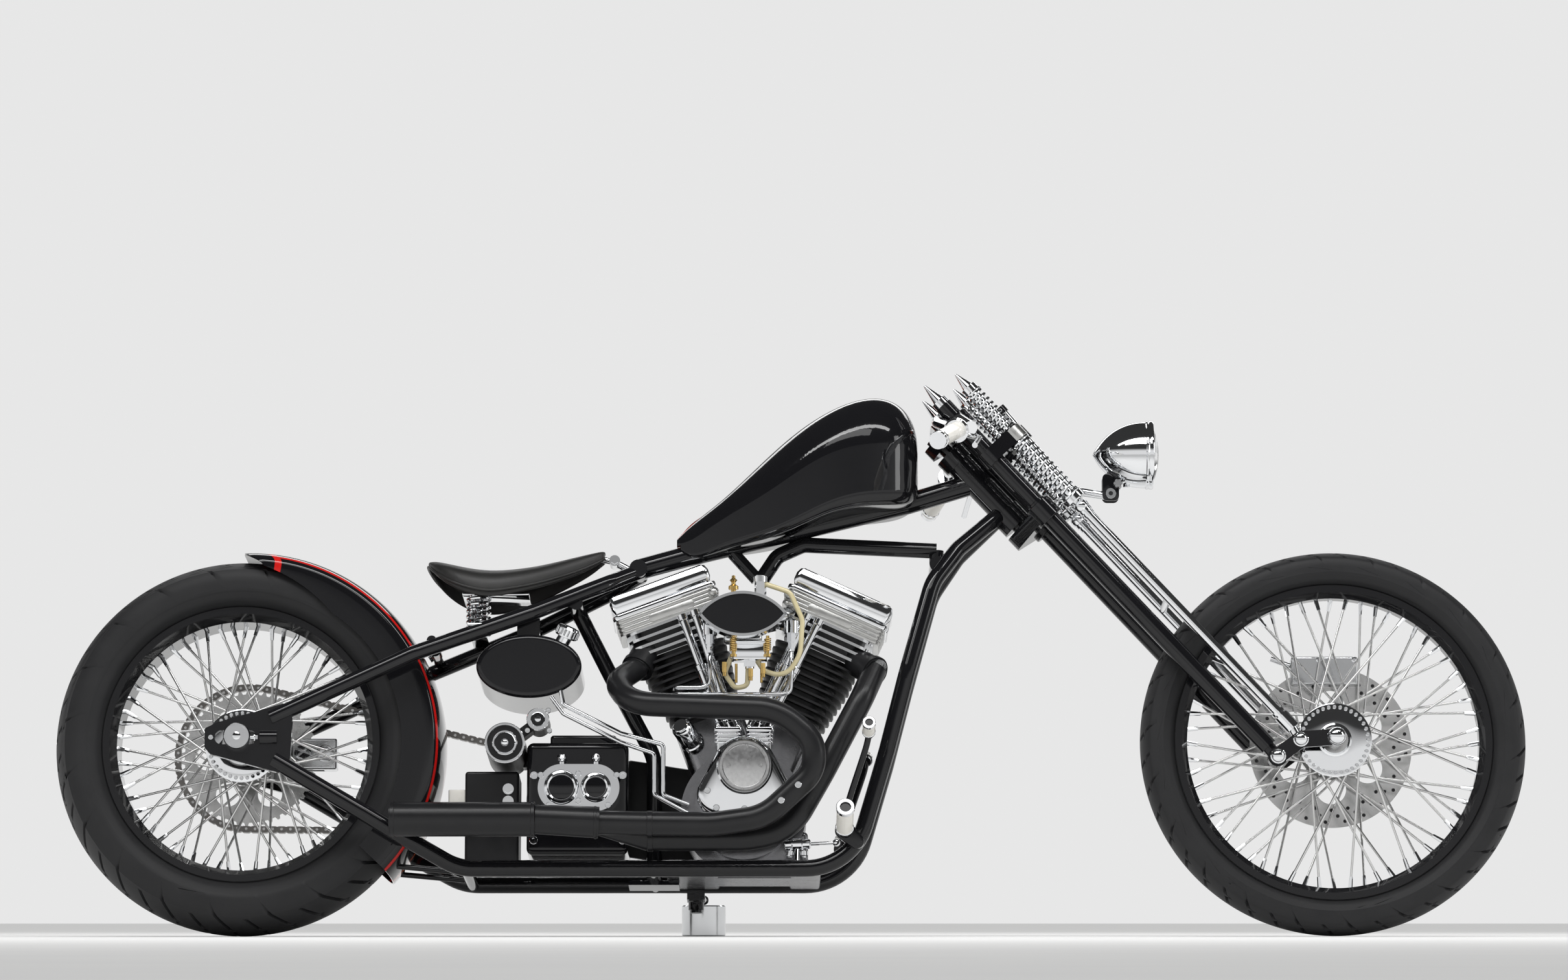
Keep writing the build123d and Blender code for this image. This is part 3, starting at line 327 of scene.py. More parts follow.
def piece(name, bm, body, material, sharp=35):
    """Closes a shape, leans it, and hands it over with its sharp edges marked."""
    bmesh.ops.remove_doubles(bm, verts=bm.verts, dist=MERGE)
    bmesh.ops.recalc_face_normals(bm, faces=bm.faces)
    bm.transform(PARKED)
    mesh = bpy.data.meshes.new(name)
    bm.to_mesh(mesh)
    bm.free()
    mesh.shade_smooth()
    mesh.set_sharp_from_angle(angle=math.radians(sharp))
    print(name, len(mesh.polygons), "faces on", body)
    return hand_over(name, mesh, body, material)


def bent_rod(name, points, radius, body, material, closed=False, fine=(5, 10)):
    """A round rod along a smooth curve; fine is its steps around and along."""
    data = bpy.data.curves.new(name, "CURVE")
    data.dimensions = "3D"
    data.bevel_depth = radius / 1000
    data.bevel_resolution, data.resolution_u = fine
    data.use_fill_caps = not closed
    line = data.splines.new("NURBS")
    line.points.add(len(points) - 1)
    for knot, point in zip(line.points, points):
        knot.co = (*(PARKED @ Vector(point)), 1)
    line.order_u = 3
    line.use_endpoint_u = not closed
    line.use_cyclic_u = closed
    print(name, len(points), "points on", body)
    return hand_over(name, data, body, material)


# %% [markdown]
# Most parts of a motorcycle are turned on a lathe or cut from bar and plate, and so are
# these. A profile is spun about an axis, which draws a round part from the few points that
# a drawing of it would have. A place is a matrix, and its z axis is the axis of the turning.

# %% Helpers for turned shapes
RIGHT, LEFT = -1, 1


def aimed(start, end):
    """A place at start whose z axis points at end."""
    way = Vector(end) - Vector(start)
    return Matrix.Translation(Vector(start)) @ way.to_track_quat("Z", "Y").to_matrix().to_4x4()


def facing(x, y, z, side=RIGHT):
    """A place whose z axis points out to one side of the machine."""
    return Matrix.Translation((x, y, z)) @ Matrix.Rotation(math.radians(-90 * side), 4, "X")


def turned(bm, profile, place, steps=24, closed=False):
    """Spins a profile of radius and height about the z axis of a place."""
    verts = [bm.verts.new(place @ Vector((radius, 0, height))) for radius, height in profile]
    edges = [bm.edges.new(pair) for pair in zip(verts, verts[1:])]
    if closed:
        edges.append(bm.edges.new((verts[-1], verts[0])))
    bmesh.ops.spin(bm, geom=verts + edges, cent=place.translation,
                   axis=place.to_3x3() @ Vector((0, 0, 1)),
                   angle=2 * math.pi, steps=steps, use_merge=True)


def ring(inner, outer, high, ease):
    """The closed profile of a plain ring with its outer edges eased."""
    return [(inner, 0), (outer - ease, 0), (outer, ease), (outer, high - ease),
            (outer - ease, high), (inner, high)]


# %% [markdown]
# Straight rods and blocks are the rest. A rod between two points saves working out its angles,
# and a block gets its rounded corners from two bevels: one on the upright edges, which shapes
# it, and a finer one round its top and bottom, which catches the light as a real edge does.

# %% Helpers for bars and slabs
CORNER_SEGMENTS, EDGE_SEGMENTS = 4, 2


def bar(bm, start, end, radius, sides=12, radius2=None):
    """A round or many-sided bar between two points, tapered where a second radius is given."""
    length = (Vector(end) - Vector(start)).length
    place = aimed(start, end) @ Matrix.Translation((0, 0, length / 2))
    bmesh.ops.create_cone(bm, cap_ends=True, segments=sides, radius1=radius,
                          radius2=radius if radius2 is None else radius2, depth=length,
                          matrix=place)


def pillar(bm, x, y, low, high, radius, sides):
    """An upright bar."""
    bar(bm, (x, y, low), (x, y, high), radius, sides)


def rounded(bm, edges, offset, segments):
    """Rounds edges by a bevel."""
    return bmesh.ops.bevel(bm, geom=edges, offset=offset, affect="EDGES", segments=segments,
                           profile=0.5, material=-1)


def slab(bm, place, half, low, high, corner, ease=0.0):
    """A block with rounded upright corners, and its top and bottom edges eased."""
    size = Matrix.Diagonal((2 * half[0], 2 * half[1], high - low, 1))
    middle = Matrix.Translation((0, 0, (low + high) / 2))
    verts = bmesh.ops.create_cube(bm, size=1, matrix=middle @ size)["verts"]
    upright = [edge for edge in {edge for vert in verts for edge in vert.link_edges}
               if abs(edge.verts[0].co.z - edge.verts[1].co.z) > 0.5 * (high - low)]
    made = rounded(bm, upright, corner, CORNER_SEGMENTS)
    faces = {face for vert in made["verts"] for face in vert.link_faces}
    verts = {vert for face in faces for vert in face.verts}
    if ease:
        level = [edge for edge in {edge for vert in verts for edge in vert.link_edges}
                 if abs(edge.verts[0].co.z - edge.verts[1].co.z) < 1e-4]
        eased = rounded(bm, level, ease, EDGE_SEGMENTS)
        verts = {vert for vert in verts if vert.is_valid} | set(eased["verts"])
    bmesh.ops.transform(bm, matrix=place, verts=list(verts))


# %% [markdown]
# A machine shows its scale by its fasteners, so there are three kinds: a six-sided bolt, a
# round screw with a hollow for its key, and a domed nut. Each is a turned profile or two
# bars in proportion to one radius. Many screws look out to a side, in rows or in circles,
# and one function sets them all.

# %% Helpers for fasteners
def hex_bolt(bm, at, out, radius, high):
    """A six-sided bolt head with a low round washer under it."""
    base = Vector(at)
    way = Vector(out).normalized()
    bar(bm, base - way * 0.5, base + way * (0.25 * high), radius * 1.25, 16)
    bar(bm, base, base + way * high, radius, 6)


def cap_screw(bm, at, out, radius, high):
    """A round screw head with a hollow for its key."""
    profile = [(0, 0.35 * high), (0.5 * radius, 0.35 * high), (0.5 * radius, high),
               (0.9 * radius, high), (radius, 0.88 * high), (radius, 0)]
    turned(bm, profile, aimed(at, Vector(at) + Vector(out)), 14)


def side_screws(bm, places, y, radius, high, side=RIGHT):
    """Cap screws that look out to one side, at places given as x and z."""
    for x, z in places:
        cap_screw(bm, (x, y, z), (0, side, 0), radius, high)


def ring_places(centre, radius, count, turn=0.0):
    """The x and z of places round a circle that is seen from the side."""
    for i in range(count):
        a = turn + 2 * math.pi * i / count
        yield centre.x + radius * math.cos(a), centre.z + radius * math.sin(a)


def acorn(bm, at, out, radius, high):
    """A domed nut."""
    profile = [(0, high)]
    for i in range(1, 7):
        a = i * math.pi / 12
        profile.append((radius * 0.86 * math.sin(a), high - 0.55 * high * (1 - math.cos(a))))
    profile += [(radius, 0.35 * high), (radius, 0), (0, 0)]
    turned(bm, profile, aimed(at, Vector(at) + Vector(out)), 16)

# %% [markdown]
# Tyres and lamps have round sections. A circle through three points is the handiest way to
# give one, because the points can be measured on the object; the centre follows from them.

# %% Helper for round stretches
def arc(start, middle, end, count):
    """Points along the circle through three points, without the last one."""
    a, b, c = (Vector(point) for point in (start, middle, end))
    double = 2 * ((a.x - c.x) * (b.y - c.y) - (b.x - c.x) * (a.y - c.y))
    m = (a.length_squared - c.length_squared, b.length_squared - c.length_squared)
    centre = Vector(((m[0] * (b.y - c.y) - m[1] * (a.y - c.y)) / double,
                     (m[1] * (a.x - c.x) - m[0] * (b.x - c.x)) / double))
    first, last = a - centre, c - centre
    sweep = first.angle_signed(last)
    if first.angle_signed(b - centre) * sweep < 0:
        sweep -= math.copysign(2 * math.pi, sweep)
    spokes = [Matrix.Rotation(-sweep * i / count, 2) @ first for i in range(count)]
    return [tuple(centre + spoke) for spoke in spokes]


# %% [markdown]
# A road tyre is a thick rubber hoop with slanted grooves cut across its round crown. The
# section is drawn once, from bead to bead, and spun about the axle as on a lathe. The spin's
# columns are then slewed to follow the grooves, so that each groove is a clean pair of columns
# pushed in, which keeps its edges sharp with few faces.

# %% Tyres
AXLE_TURN = Matrix.Rotation(math.radians(-90), 4, "X")
COLUMNS = (0.0, 0.03, 0.135, 0.165, 0.30, 0.44, 0.58, 0.72, 0.86)
LONG_GROOVE, SHORT_GROOVE = 1.0, 0.66
GROOVE_COLUMNS = (1, 2)
GROOVE_FROM, SLANT_POWER, GROOVE_POWER = 0.1, 1.6, 0.4
CROWN_STEPS, WALL_STEPS = 28, 14
WALL_RIBS, RIB_HEIGHT = (7, 11), 0.9


def tyre_profile(radius, half, seat, lip, lip_half):
    """Half a tyre's section, from the middle of the crown to the bead, as radius and side."""
    side = seat + 0.48 * (radius - seat)
    shoulder = radius - 0.17 * (radius - seat) - 0.07 * half
    edge = 0.93 * half
    crown = arc((shoulder, -edge), (radius, 0), (shoulder, edge), CROWN_STEPS)
    wall = arc((shoulder, edge), (side, half), (lip + 3, lip_half + 3), WALL_STEPS)
    ribbed = [(r, h + (RIB_HEIGHT if i in WALL_RIBS else 0)) for i, (r, h) in enumerate(wall)]
    bead = [(lip + 3, lip_half + 3), (lip + 1, lip_half), (seat, lip_half)]
    return crown[CROWN_STEPS // 2:] + ribbed + bead


def tyre(name, solid, body, axle, sizes, grooves, slant, reach, depth):
    """A spun tyre with its grooves, some of them short, pushed in to a depth."""
    half_profile = tyre_profile(*sizes)
    full = [(r, -h) for r, h in reversed(half_profile)] + half_profile[1:]
    along, walked = {}, 0.0
    for before, point in zip(half_profile, half_profile[1:]):
        walked += (Vector(point) - Vector(before)).length
        along[round(point[0], 2), round(point[1], 2)] = walked
    bm = bmesh.new()
    steps = grooves * len(COLUMNS)
    turned(bm, full, Matrix.Identity(4), steps)
    bmesh.ops.remove_doubles(bm, verts=bm.verts, dist=MERGE)
    for vert in bm.verts:
        r = math.hypot(vert.co.x, vert.co.y)
        way = along.get((round(r, 2), round(abs(vert.co.z), 2)), 0.0)
        step = round(math.atan2(vert.co.y, vert.co.x) / (2 * math.pi) * steps) % steps
        groove, column = divmod(step, len(COLUMNS))
        share = min(way / reach, 1.0)
        turn = (groove + COLUMNS[column]) / grooves * 2 * math.pi + slant * share ** SLANT_POWER
        last = SHORT_GROOVE if groove % 2 else LONG_GROOVE
        if column in GROOVE_COLUMNS and GROOVE_FROM < share < last:
            along_groove = (share - GROOVE_FROM) / (last - GROOVE_FROM)
            r -= depth * math.sin(math.pi * along_groove) ** GROOVE_POWER
        vert.co.x, vert.co.y = r * math.cos(turn), r * math.sin(turn)
    bm.transform(Matrix.Translation(axle) @ AXLE_TURN)
    made = piece(name, bm, body, RUBBER, 30)
    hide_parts(solid)


# radius, half width, bead seat, rim lip, half width at the lip
FRONT_TYRE = (346, 46, 277.3, 284, 25.7)
REAR_TYRE = (336, 97, 240.3, 247, 68.7)
tyre("front_tyre_tread", "front_tyre", "front_wheel", FRONT_AXLE, FRONT_TYRE,
     grooves=44, slant=0.13, reach=68, depth=6.0)
tyre("rear_tyre_tread", "rear_tyre", "rear_wheel", REAR_AXLE, REAR_TYRE,
     grooves=40, slant=0.20, reach=130, depth=7.0)

# %% [markdown]
# Each spoke ends in a nipple, a small bright nut that pulls it tight at the rim. The places
# follow the lacing: thirty spokes a side, alternate ones leaning forwards and backwards.

# %% Spoke nipples
SPOKES_A_SIDE = 30
SPOKE_SLANT = math.radians(48)
HUB_HOLES = 55
FLANGE_PLACE, FLANGE_STEP = 38, 5
RIM_PLACE, RIM_STEP = 7, 2


def laced_spokes(axle, rim_radius):
    """The inner and outer end of every spoke of a wheel."""
    step = 2 * math.pi / SPOKES_A_SIDE
    for side in (-1, 1):
        for i in range(SPOKES_A_SIDE):
            lean = 1 if i % 2 else -1
            at_rim = (i + (0.5 if side > 0 else 0)) * step
            at_hub = at_rim + lean * SPOKE_SLANT
            hub_side = side * (FLANGE_PLACE + FLANGE_STEP * lean)
            rim_side = side * (RIM_PLACE + RIM_STEP * lean)
            inner = (HUB_HOLES * math.cos(at_hub), hub_side, HUB_HOLES * math.sin(at_hub))
            outer = (rim_radius * math.cos(at_rim), rim_side, rim_radius * math.sin(at_rim))
            yield axle + Vector(inner), axle + Vector(outer)


def nipples(name, body, axle, rim_radius):
    bm = bmesh.new()
    for inner, outer in laced_spokes(axle, rim_radius):
        way = (inner - outer).normalized()
        bar(bm, outer - way * 2, outer + way * 19, 4.4, 8, 3.3)
        bar(bm, inner - way * 3, inner + way * 8, 3.4, 8)
    piece(name, bm, body, CHROME)


nipples("front_nipples", "front_wheel", FRONT_AXLE, rim_radius=261)
nipples("rear_nipples", "rear_wheel", REAR_AXLE, rim_radius=223)

# %% [markdown]
# The fork's springs are open coils of round chromed wire around the front rods. A circle is
# spun about the rod with a small step along it each time, which draws a true helix, and the
# coil ends are closed up by flat rings, as on a ground spring end.

# %% Fork springs
WIRE_SIDES = 8


def coil(bm, start, end, radius, wire, turns, steps=22):
    """A helix of round wire between two points."""
    length = (Vector(end) - Vector(start)).length
    place = aimed(start, end)
    way = place.to_3x3() @ Vector((0, 0, 1))
    at_wire = place @ facing(radius, 0, wire)
    section = bmesh.ops.create_circle(bm, cap_ends=False, segments=WIRE_SIDES, radius=wire,
                                      matrix=at_wire)
    edges = list({edge for vert in section["verts"] for edge in vert.link_edges})
    count = round(turns * steps)
    bmesh.ops.spin(bm, geom=section["verts"] + edges, cent=place.translation, axis=way,
                   dvec=way * ((length - 2 * wire) / count),
                   angle=2 * math.pi * turns, steps=count)
    bmesh.ops.holes_fill(bm, edges=[edge for edge in bm.edges if edge.is_boundary],
                         sides=WIRE_SIDES)


def fork_point(ahead, side, up):
    """A place on the fork: ahead of the steering stem, to the left, and up along it."""
    return FORK @ Vector((ahead, side, up))


ROD_AHEAD = 98
LEG_SIDE = 72
# low end, high end, outside radius, wire's radius, turns
SPRING_ROWS = ((36, 131.5, 17, 3.0, 8.5), (-128, 8, 20, 3.4, 10.5))
PERCH = [(10, 0), (20, 0), (22, 2), (22, 12), (20, 14), (10, 14)]


def on_rod(side, up):
    """A place on a front rod whose z axis runs up along it."""
    return aimed(fork_point(ROD_AHEAD, side, up), fork_point(ROD_AHEAD, side, up + 1))


def fork_springs():
    bm = bmesh.new()
    for side in (-LEG_SIDE, LEG_SIDE):
        for low, high, outside, wire, turns in SPRING_ROWS:
            coil(bm, fork_point(ROD_AHEAD, side, low), fork_point(ROD_AHEAD, side, high),
                 outside - wire, wire, turns)
            end = [(10, 0), (outside, 0), (outside + 1, 2), (outside, 4), (10, 4)]
            for up in (low, high - 4):
                turned(bm, end, on_rod(side, up), 28, closed=True)
        turned(bm, PERCH, on_rod(side, -142), 28, closed=True)
    made = piece("fork_spring_coils", bm, "fork", CHROME)
    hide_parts("fork_springs")


fork_springs()

# %% [markdown]
# The saddle rides on two more coils behind its hinge. They stand inside the solid sleeve that
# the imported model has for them, so that solid's place is taken by coils, a pan and a hinge.

# %% Saddle springs
SADDLE_SPRING = Vector((-563, 55, 545))
SADDLE_SPRING_HEIGHT = 61


def saddle_springs():
    bm = bmesh.new()
    for side in (-1, 1):
        foot = Vector((SADDLE_SPRING.x, side * SADDLE_SPRING.y, SADDLE_SPRING.z))
        top = foot + Vector((0, 0, SADDLE_SPRING_HEIGHT))
        coil(bm, foot, top, 17.4, 3.2, 5.5)
        bar(bm, foot - Vector((0, 0, 4)), top + Vector((0, 0, 5)), 5, 12)
        hex_bolt(bm, foot, (0, 0, 1), 11, 7)
        hex_bolt(bm, top, (0, 0, -1), 11, 5)
    return bm


def saddle_mounts(bm):
    """Spring bed across the stays, pan under the leather and hinge at the nose."""
    corners = []
    for place, size in (((-563, 0, 542.5), (30, 264, 5, 1)), ((-530, 0, 609), (120, 120, 6, 1))):
        block = Matrix.Translation(place) @ Matrix.Diagonal(size)
        corners += bmesh.ops.create_cube(bm, size=1, matrix=block)["verts"]
    edges = list({edge for vert in corners for edge in vert.link_edges})
    rounded(bm, edges, 2, EDGE_SEGMENTS)
    nose, hinge = Vector((-352, 0, 684)), Vector((-318, 0, 676))
    for side in (RIGHT, LEFT):
        out = Vector((0, 11 * side, 0))
        bar(bm, nose + out, hinge + out, 4, 12)
        hex_bolt(bm, hinge + 2 * out, out, 7, 6)
    for middle, half, radius, sides in ((nose, 12, 7, 20), (hinge, 22, 10, 24)):
        bar(bm, middle - Vector((0, half, 0)), middle + Vector((0, half, 0)), radius, sides)
    bar(bm, hinge, (-284, 0, 658), 7, 16)
    return bm


made = piece("saddle_springs_hinge", saddle_mounts(saddle_springs()), "frame", CHROME)
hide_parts("seat_springs")

# %% [markdown]
# The seat is a small solo saddle: black leather pulled over a dished pan, broad at the back
# and narrow at the nose, with its skirt rolled down at the sides. A flat grid is bent into that
# form row by row, given its thickness, and subdivided, so the leather is one smooth skin. A
# round bead sewn along the edge hides where top and skirt meet.

# %% Saddle
# x, half width, skirt edge, top
SADDLE_ROWS = (
    (-654, 34, 662, 676), (-640, 70, 640, 678), (-614, 98, 618, 672), (-580, 110, 602, 664),
    (-540, 111, 594, 659), (-498, 102, 602, 662), (-456, 84, 614, 669), (-416, 62, 630, 680),
    (-380, 44, 646, 690), (-352, 31, 662, 697), (-335, 20, 676, 700),
)
SADDLE_ACROSS = 20
SADDLE_DISH, LEATHER_THICK = 5, 7
BEAD_SHARE = 0.97


def saddle_point(row, share):
    """A point of the leather: share runs from -1 at the right edge to 1 at the left."""
    x, half, edge, top = row
    bend = share * math.pi / 2
    drop = (top - edge) * (1 - math.cos(bend) ** 0.55) if abs(share) < 1 else top - edge
    dish = SADDLE_DISH * math.cos(bend) ** 4
    return Vector((x, half * math.sin(bend), top - drop - dish))


def saddle():
    bm = bmesh.new()
    rows, columns = len(SADDLE_ROWS) - 1, SADDLE_ACROSS
    bmesh.ops.create_grid(bm, x_segments=rows, y_segments=columns, size=0.5)
    for vert in bm.verts:
        row = round((vert.co.x + 0.5) * rows)
        vert.co = saddle_point(SADDLE_ROWS[row], 2 * vert.co.y)
    bmesh.ops.recalc_face_normals(bm, faces=bm.faces)
    bmesh.ops.solidify(bm, geom=bm.faces[:], thickness=LEATHER_THICK)
    made = piece("saddle_leather", bm, "frame", LEATHER, 80)
    rounder = made.modifiers.new("smooth", "SUBSURF")
    rounder.levels = rounder.render_levels = 2
    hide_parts("seat")


def saddle_bead():
    """A sewn bead round the edge of the leather."""
    right = [saddle_point(row, -BEAD_SHARE) for row in SADDLE_ROWS]
    left = [saddle_point(row, BEAD_SHARE) for row in reversed(SADDLE_ROWS)]
    bent_rod("saddle_bead", right + left, 2.8, "frame", LEATHER,
             closed=True, fine=(3, 6))


saddle()
saddle_bead()

# %% [markdown]
# The engine is a narrow V of two cylinders. Each head carries a chromed rocker box with broad
# bevels on a ribbed base. The boxes are cubes with their upright corners rounded and their top
# edges bevelled, laid in each cylinder's own frame, so that one loop dresses both cylinders.

# %% Rocker boxes and their bases
CRANK = Vector((-85, 0, 213))
CYLINDER_ANGLES = (-20.5, 24.5)
HEAD_TOP, ROCKER_TOP = 402, 449
BASE_RIBS, RIB_PITCH, RIB_THICK = 4, 7.2, 5.6
BASE_SIDE = 74
CYLINDERS = [Matrix.Translation(CRANK) @ Matrix.Rotation(math.radians(angle), 4, "Y")
             for angle in CYLINDER_ANGLES]


def rocker_boxes():
    bm = bmesh.new()
    for place in CYLINDERS:
        slab(bm, place, (98, 73), HEAD_TOP, HEAD_TOP + 10, 12, 2.5)
        slab(bm, place, (94, 69), HEAD_TOP + 9, ROCKER_TOP, 9, 13)
        up = place.to_3x3() @ Vector((0, 0, 1))
        for x in (-84, 84):
            for y in (-46, 46):
                cap_screw(bm, place @ Vector((x, y, HEAD_TOP + 10)), up, 6, 6)
    made = piece("rocker_box_covers", bm, "frame", CHROME)
    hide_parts("rocker_boxes")


def rocker_bases():
    """Ribbed bands under the boxes, each with a bare oval plate and a domed nut."""
    bm = bmesh.new()
    for place, ahead in zip(CYLINDERS, (1, -1)):
        for step in range(BASE_RIBS):
            low = HEAD_TOP - 29 + RIB_PITCH * step
            slab(bm, place, (95, 75), low, low + RIB_THICK, 12, 0.8)
            slab(bm, place, (93, 73.4), low + 5, low + 7.5, 11)
        for side in (RIGHT, LEFT):
            plate = place @ facing(6 * ahead, side * (BASE_SIDE + 0.6), HEAD_TOP - 17)
            slab(bm, plate, (43, 6.6), -1.6, 1.6, 6.4, 0.8)
            nut = place @ Vector((88 * ahead, side * BASE_SIDE, HEAD_TOP - 12))
            acorn(bm, nut, (0, side, 0), 10, 12)
    piece("rocker_bases", bm, "frame", BRUSHED)


rocker_boxes()
rocker_bases()

# %% [markdown]
# Pushrods run up in bright telescoping tubes, from the lifter blocks beside the crankcase to
# the heads. Each is one turned profile of two diameters with a clip where they slide together.
# A stack of cylinders would do, but one profile leaves no hidden ends inside the tube.

# %% Pushrod sleeves
PUSHROD_FOOT = Vector((0, -98, 361))
PUSHROD_HEAD_SIDE = -84
# cylinder, place along its head, foot's x
PUSHROD_ROWS = ((0, 20, -122), (0, 44, -104), (1, -44, -66), (1, -20, -46))


def pushrod_sleeves():
    bm = bmesh.new()
    for index, along, foot_x in PUSHROD_ROWS:
        foot = PUSHROD_FOOT + Vector((foot_x, 0, 0))
        top = CYLINDERS[index] @ Vector((along, PUSHROD_HEAD_SIDE, HEAD_TOP - 32))
        length = (top - foot).length
        lower = [(0, 0), (12.5, 0), (12.5, 9), (10.2, 11), (10.2, 0.50 * length)]
        clip = [(11.4, 0.505 * length), (11.4, 0.55 * length)]
        upper = [(8.2, 0.56 * length), (8.2, length - 12), (10, length - 10), (10, length),
                 (0, length)]
        turned(bm, lower + clip + upper, aimed(foot, top), 24)
    made = piece("pushrod_sleeves", bm, "frame", CHROME)
    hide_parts("pushrod_tubes")


pushrod_sleeves()

# %% [markdown]
# The air cleaner is a pointed oval: two arcs that meet at sharp tips. A circle is cut along a
# chord and the cap is mirrored, which gives the exact outline. A chromed rim stands round a
# glossy black face that is set a little way in.

# %% Air cleaner
CLEANER = Vector((-86, -214, 549))
CLEANER_HALF, CLEANER_HIGH = 79, 40.5
RIM_WIDE, RIM_DEEP = 5, 38
FACE_IN, FACE_DEEP = 2.2, 30


def pointed_oval(bm, half, high):
    """A flat face in x and z between two arcs, its tips on the x axis."""
    radius = (half * half + high * high) / (2 * high)
    bmesh.ops.create_circle(bm, cap_ends=True, segments=120, radius=radius,
                            matrix=facing(0, 0, high - radius))
    bmesh.ops.bisect_plane(bm, geom=bm.verts[:] + bm.edges[:] + bm.faces[:],
                           plane_co=(0, 0, 0), plane_no=(0, 0, 1), clear_inner=True)
    bmesh.ops.mirror(bm, geom=bm.verts[:] + bm.edges[:] + bm.faces[:], axis="Z",
                     merge_dist=0.01)
    bmesh.ops.remove_doubles(bm, verts=bm.verts, dist=0.02)
    bmesh.ops.dissolve_faces(bm, faces=bm.faces[:])


def thicken(bm, depth):
    """Draws all faces out into a body, inwards from the right side."""
    raised = bmesh.ops.extrude_face_region(bm, geom=bm.faces[:])
    moved = [item for item in raised["geom"] if isinstance(item, bmesh.types.BMVert)]
    bmesh.ops.translate(bm, vec=(0, depth, 0), verts=moved)


def air_cleaner_rim():
    bm = bmesh.new()
    pointed_oval(bm, CLEANER_HALF, CLEANER_HIGH)
    face = bm.faces[:][0]
    bmesh.ops.inset_individual(bm, faces=[face], thickness=RIM_WIDE, use_even_offset=True)
    bmesh.ops.delete(bm, geom=[face], context="FACES_ONLY")
    bmesh.ops.recalc_face_normals(bm, faces=bm.faces)
    thicken(bm, RIM_DEEP)
    bm.transform(Matrix.Translation(CLEANER))
    made = piece("air_cleaner_rim", bm, "frame", CHROME, 50)
    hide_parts("air_cleaner")


def air_cleaner_face():
    bm = bmesh.new()
    pointed_oval(bm, CLEANER_HALF - 7, CLEANER_HIGH - 4.6)
    thicken(bm, FACE_DEEP)
    bm.transform(Matrix.Translation(CLEANER + Vector((0, FACE_IN, 0))))
    piece("air_cleaner_face", bm, "frame", GLOSS_BLACK, 50)


air_cleaner_rim()
air_cleaner_face()

# %% [markdown]
# The carburettor hangs between the cylinders: a chromed float bowl with a flanged lid, idle
# screws under brass springs, brass jets below, and fittings at the heads for the breather
# lines. Brass and chrome are two pieces, because a piece here has one finish. So small a part
# is read by its many steps in width, and short bars of different width give those at once.

# %% Carburettor fittings
BOWL = Vector((-74, -146, 487))
FITTING_SIDE, VALVE_SIDE, IDLE_SIDE, JET_SIDE = -104, -138, -168, -140
NEEDLE = [(0, 26), (3, 25), (3.4, 20), (7, 17), (4, 13), (4, 9), (9, 6), (9, 0), (0, 0)]


def carburettor_chrome():
    bm = bmesh.new()
    bowl = Matrix.Translation(BOWL)
    slab(bm, bowl, (31, 21), -13, 16, 8, 2)
    slab(bm, bowl, (36, 25), 15, 20, 9, 1)
    pillar(bm, BOWL.x, BOWL.y, BOWL.z - 24, BOWL.z - 12, 12, 6)
    pillar(bm, BOWL.x, BOWL.y, BOWL.z - 27, BOWL.z - 23, 8, 20)
    for x in (-31, 31):
        for y in (-20, 20):
            cap_screw(bm, BOWL + Vector((x, y, 20)), (0, 0, 1), 4, 4)
    for x, z in ((-145, 505), (0, 508)):
        pillar(bm, x, FITTING_SIDE, z + 22, z + 44, 13, 24)
        pillar(bm, x, FITTING_SIDE, z + 6, z + 23, 9, 6)
        pillar(bm, x, FITTING_SIDE, z - 10, z + 7, 6.5, 6)
    pillar(bm, -55, VALVE_SIDE, 590, 618, 10.5, 8)
    pillar(bm, -55, VALVE_SIDE, 617, 627, 12, 20)
    piece("carburettor_fittings", bm, "frame", CHROME)


def carburettor_brass():
    bm = bmesh.new()
    for x in (-103, -42):
        coil(bm, (x, IDLE_SIDE, 488), (x, IDLE_SIDE, 512), 5.2, 1.3, 6.5, 16)
        pillar(bm, x, IDLE_SIDE, 482, 516, 3.2, 10)
        pillar(bm, x, IDLE_SIDE, 478, 483, 6, 14)
    for x, z in ((-119, 463), (-50, 461), (-72, 455)):
        pillar(bm, x, BOWL.y, z - 9, z + 9, 4.6, 6)
        pillar(bm, x, BOWL.y, z - 16, z - 8, 3.4, 12)
    for x in (-98, -53):
        pillar(bm, x, JET_SIDE, 436, 470, 2.6, 10)
    turned(bm, NEEDLE, Matrix.Translation((-103, VALVE_SIDE, 604)), 18)
    pillar(bm, -103, VALVE_SIDE, 574, 606, 4.5, 14)
    piece("carburettor_brass", bm, "frame", BRASS)


carburettor_chrome()
carburettor_brass()

# %% [markdown]
# The ignition sits behind a round cover on the timing case, with a raised rim that catches the
# light. It is one turned profile; a cylinder with an inset and a bevel would look the same, but
# the profile says each step of the rim in millimetres.

# %% Ignition cover
IGNITION = (-83, -138, 287)
IGNITION_COVER = [(0, 10.2), (36, 10.2), (38, 9.4), (39.5, 11), (44, 11), (46.5, 8.5),
                  (46.5, 0), (0, 0)]
TIMING_OUTER = 131
TIMING_SCREWS = ((-149, 244), (-133, 213), (-83, 211), (-33, 213), (-17, 244))


def ignition_cover():
    bm = bmesh.new()
    turned(bm, IGNITION_COVER, facing(*IGNITION), 64)
    x, y, z = IGNITION
    side_screws(bm, ((x - 29, z), (x + 29, z)), y - 10, 3.6, 2.6)
    piece("ignition_cover", bm, "frame", ENGINE_TURNED)
    screws = bmesh.new()
    side_screws(screws, TIMING_SCREWS, -TIMING_OUTER, 6, 5)
    piece("timing_screws", screws, "frame", CHROME)


ignition_cover()

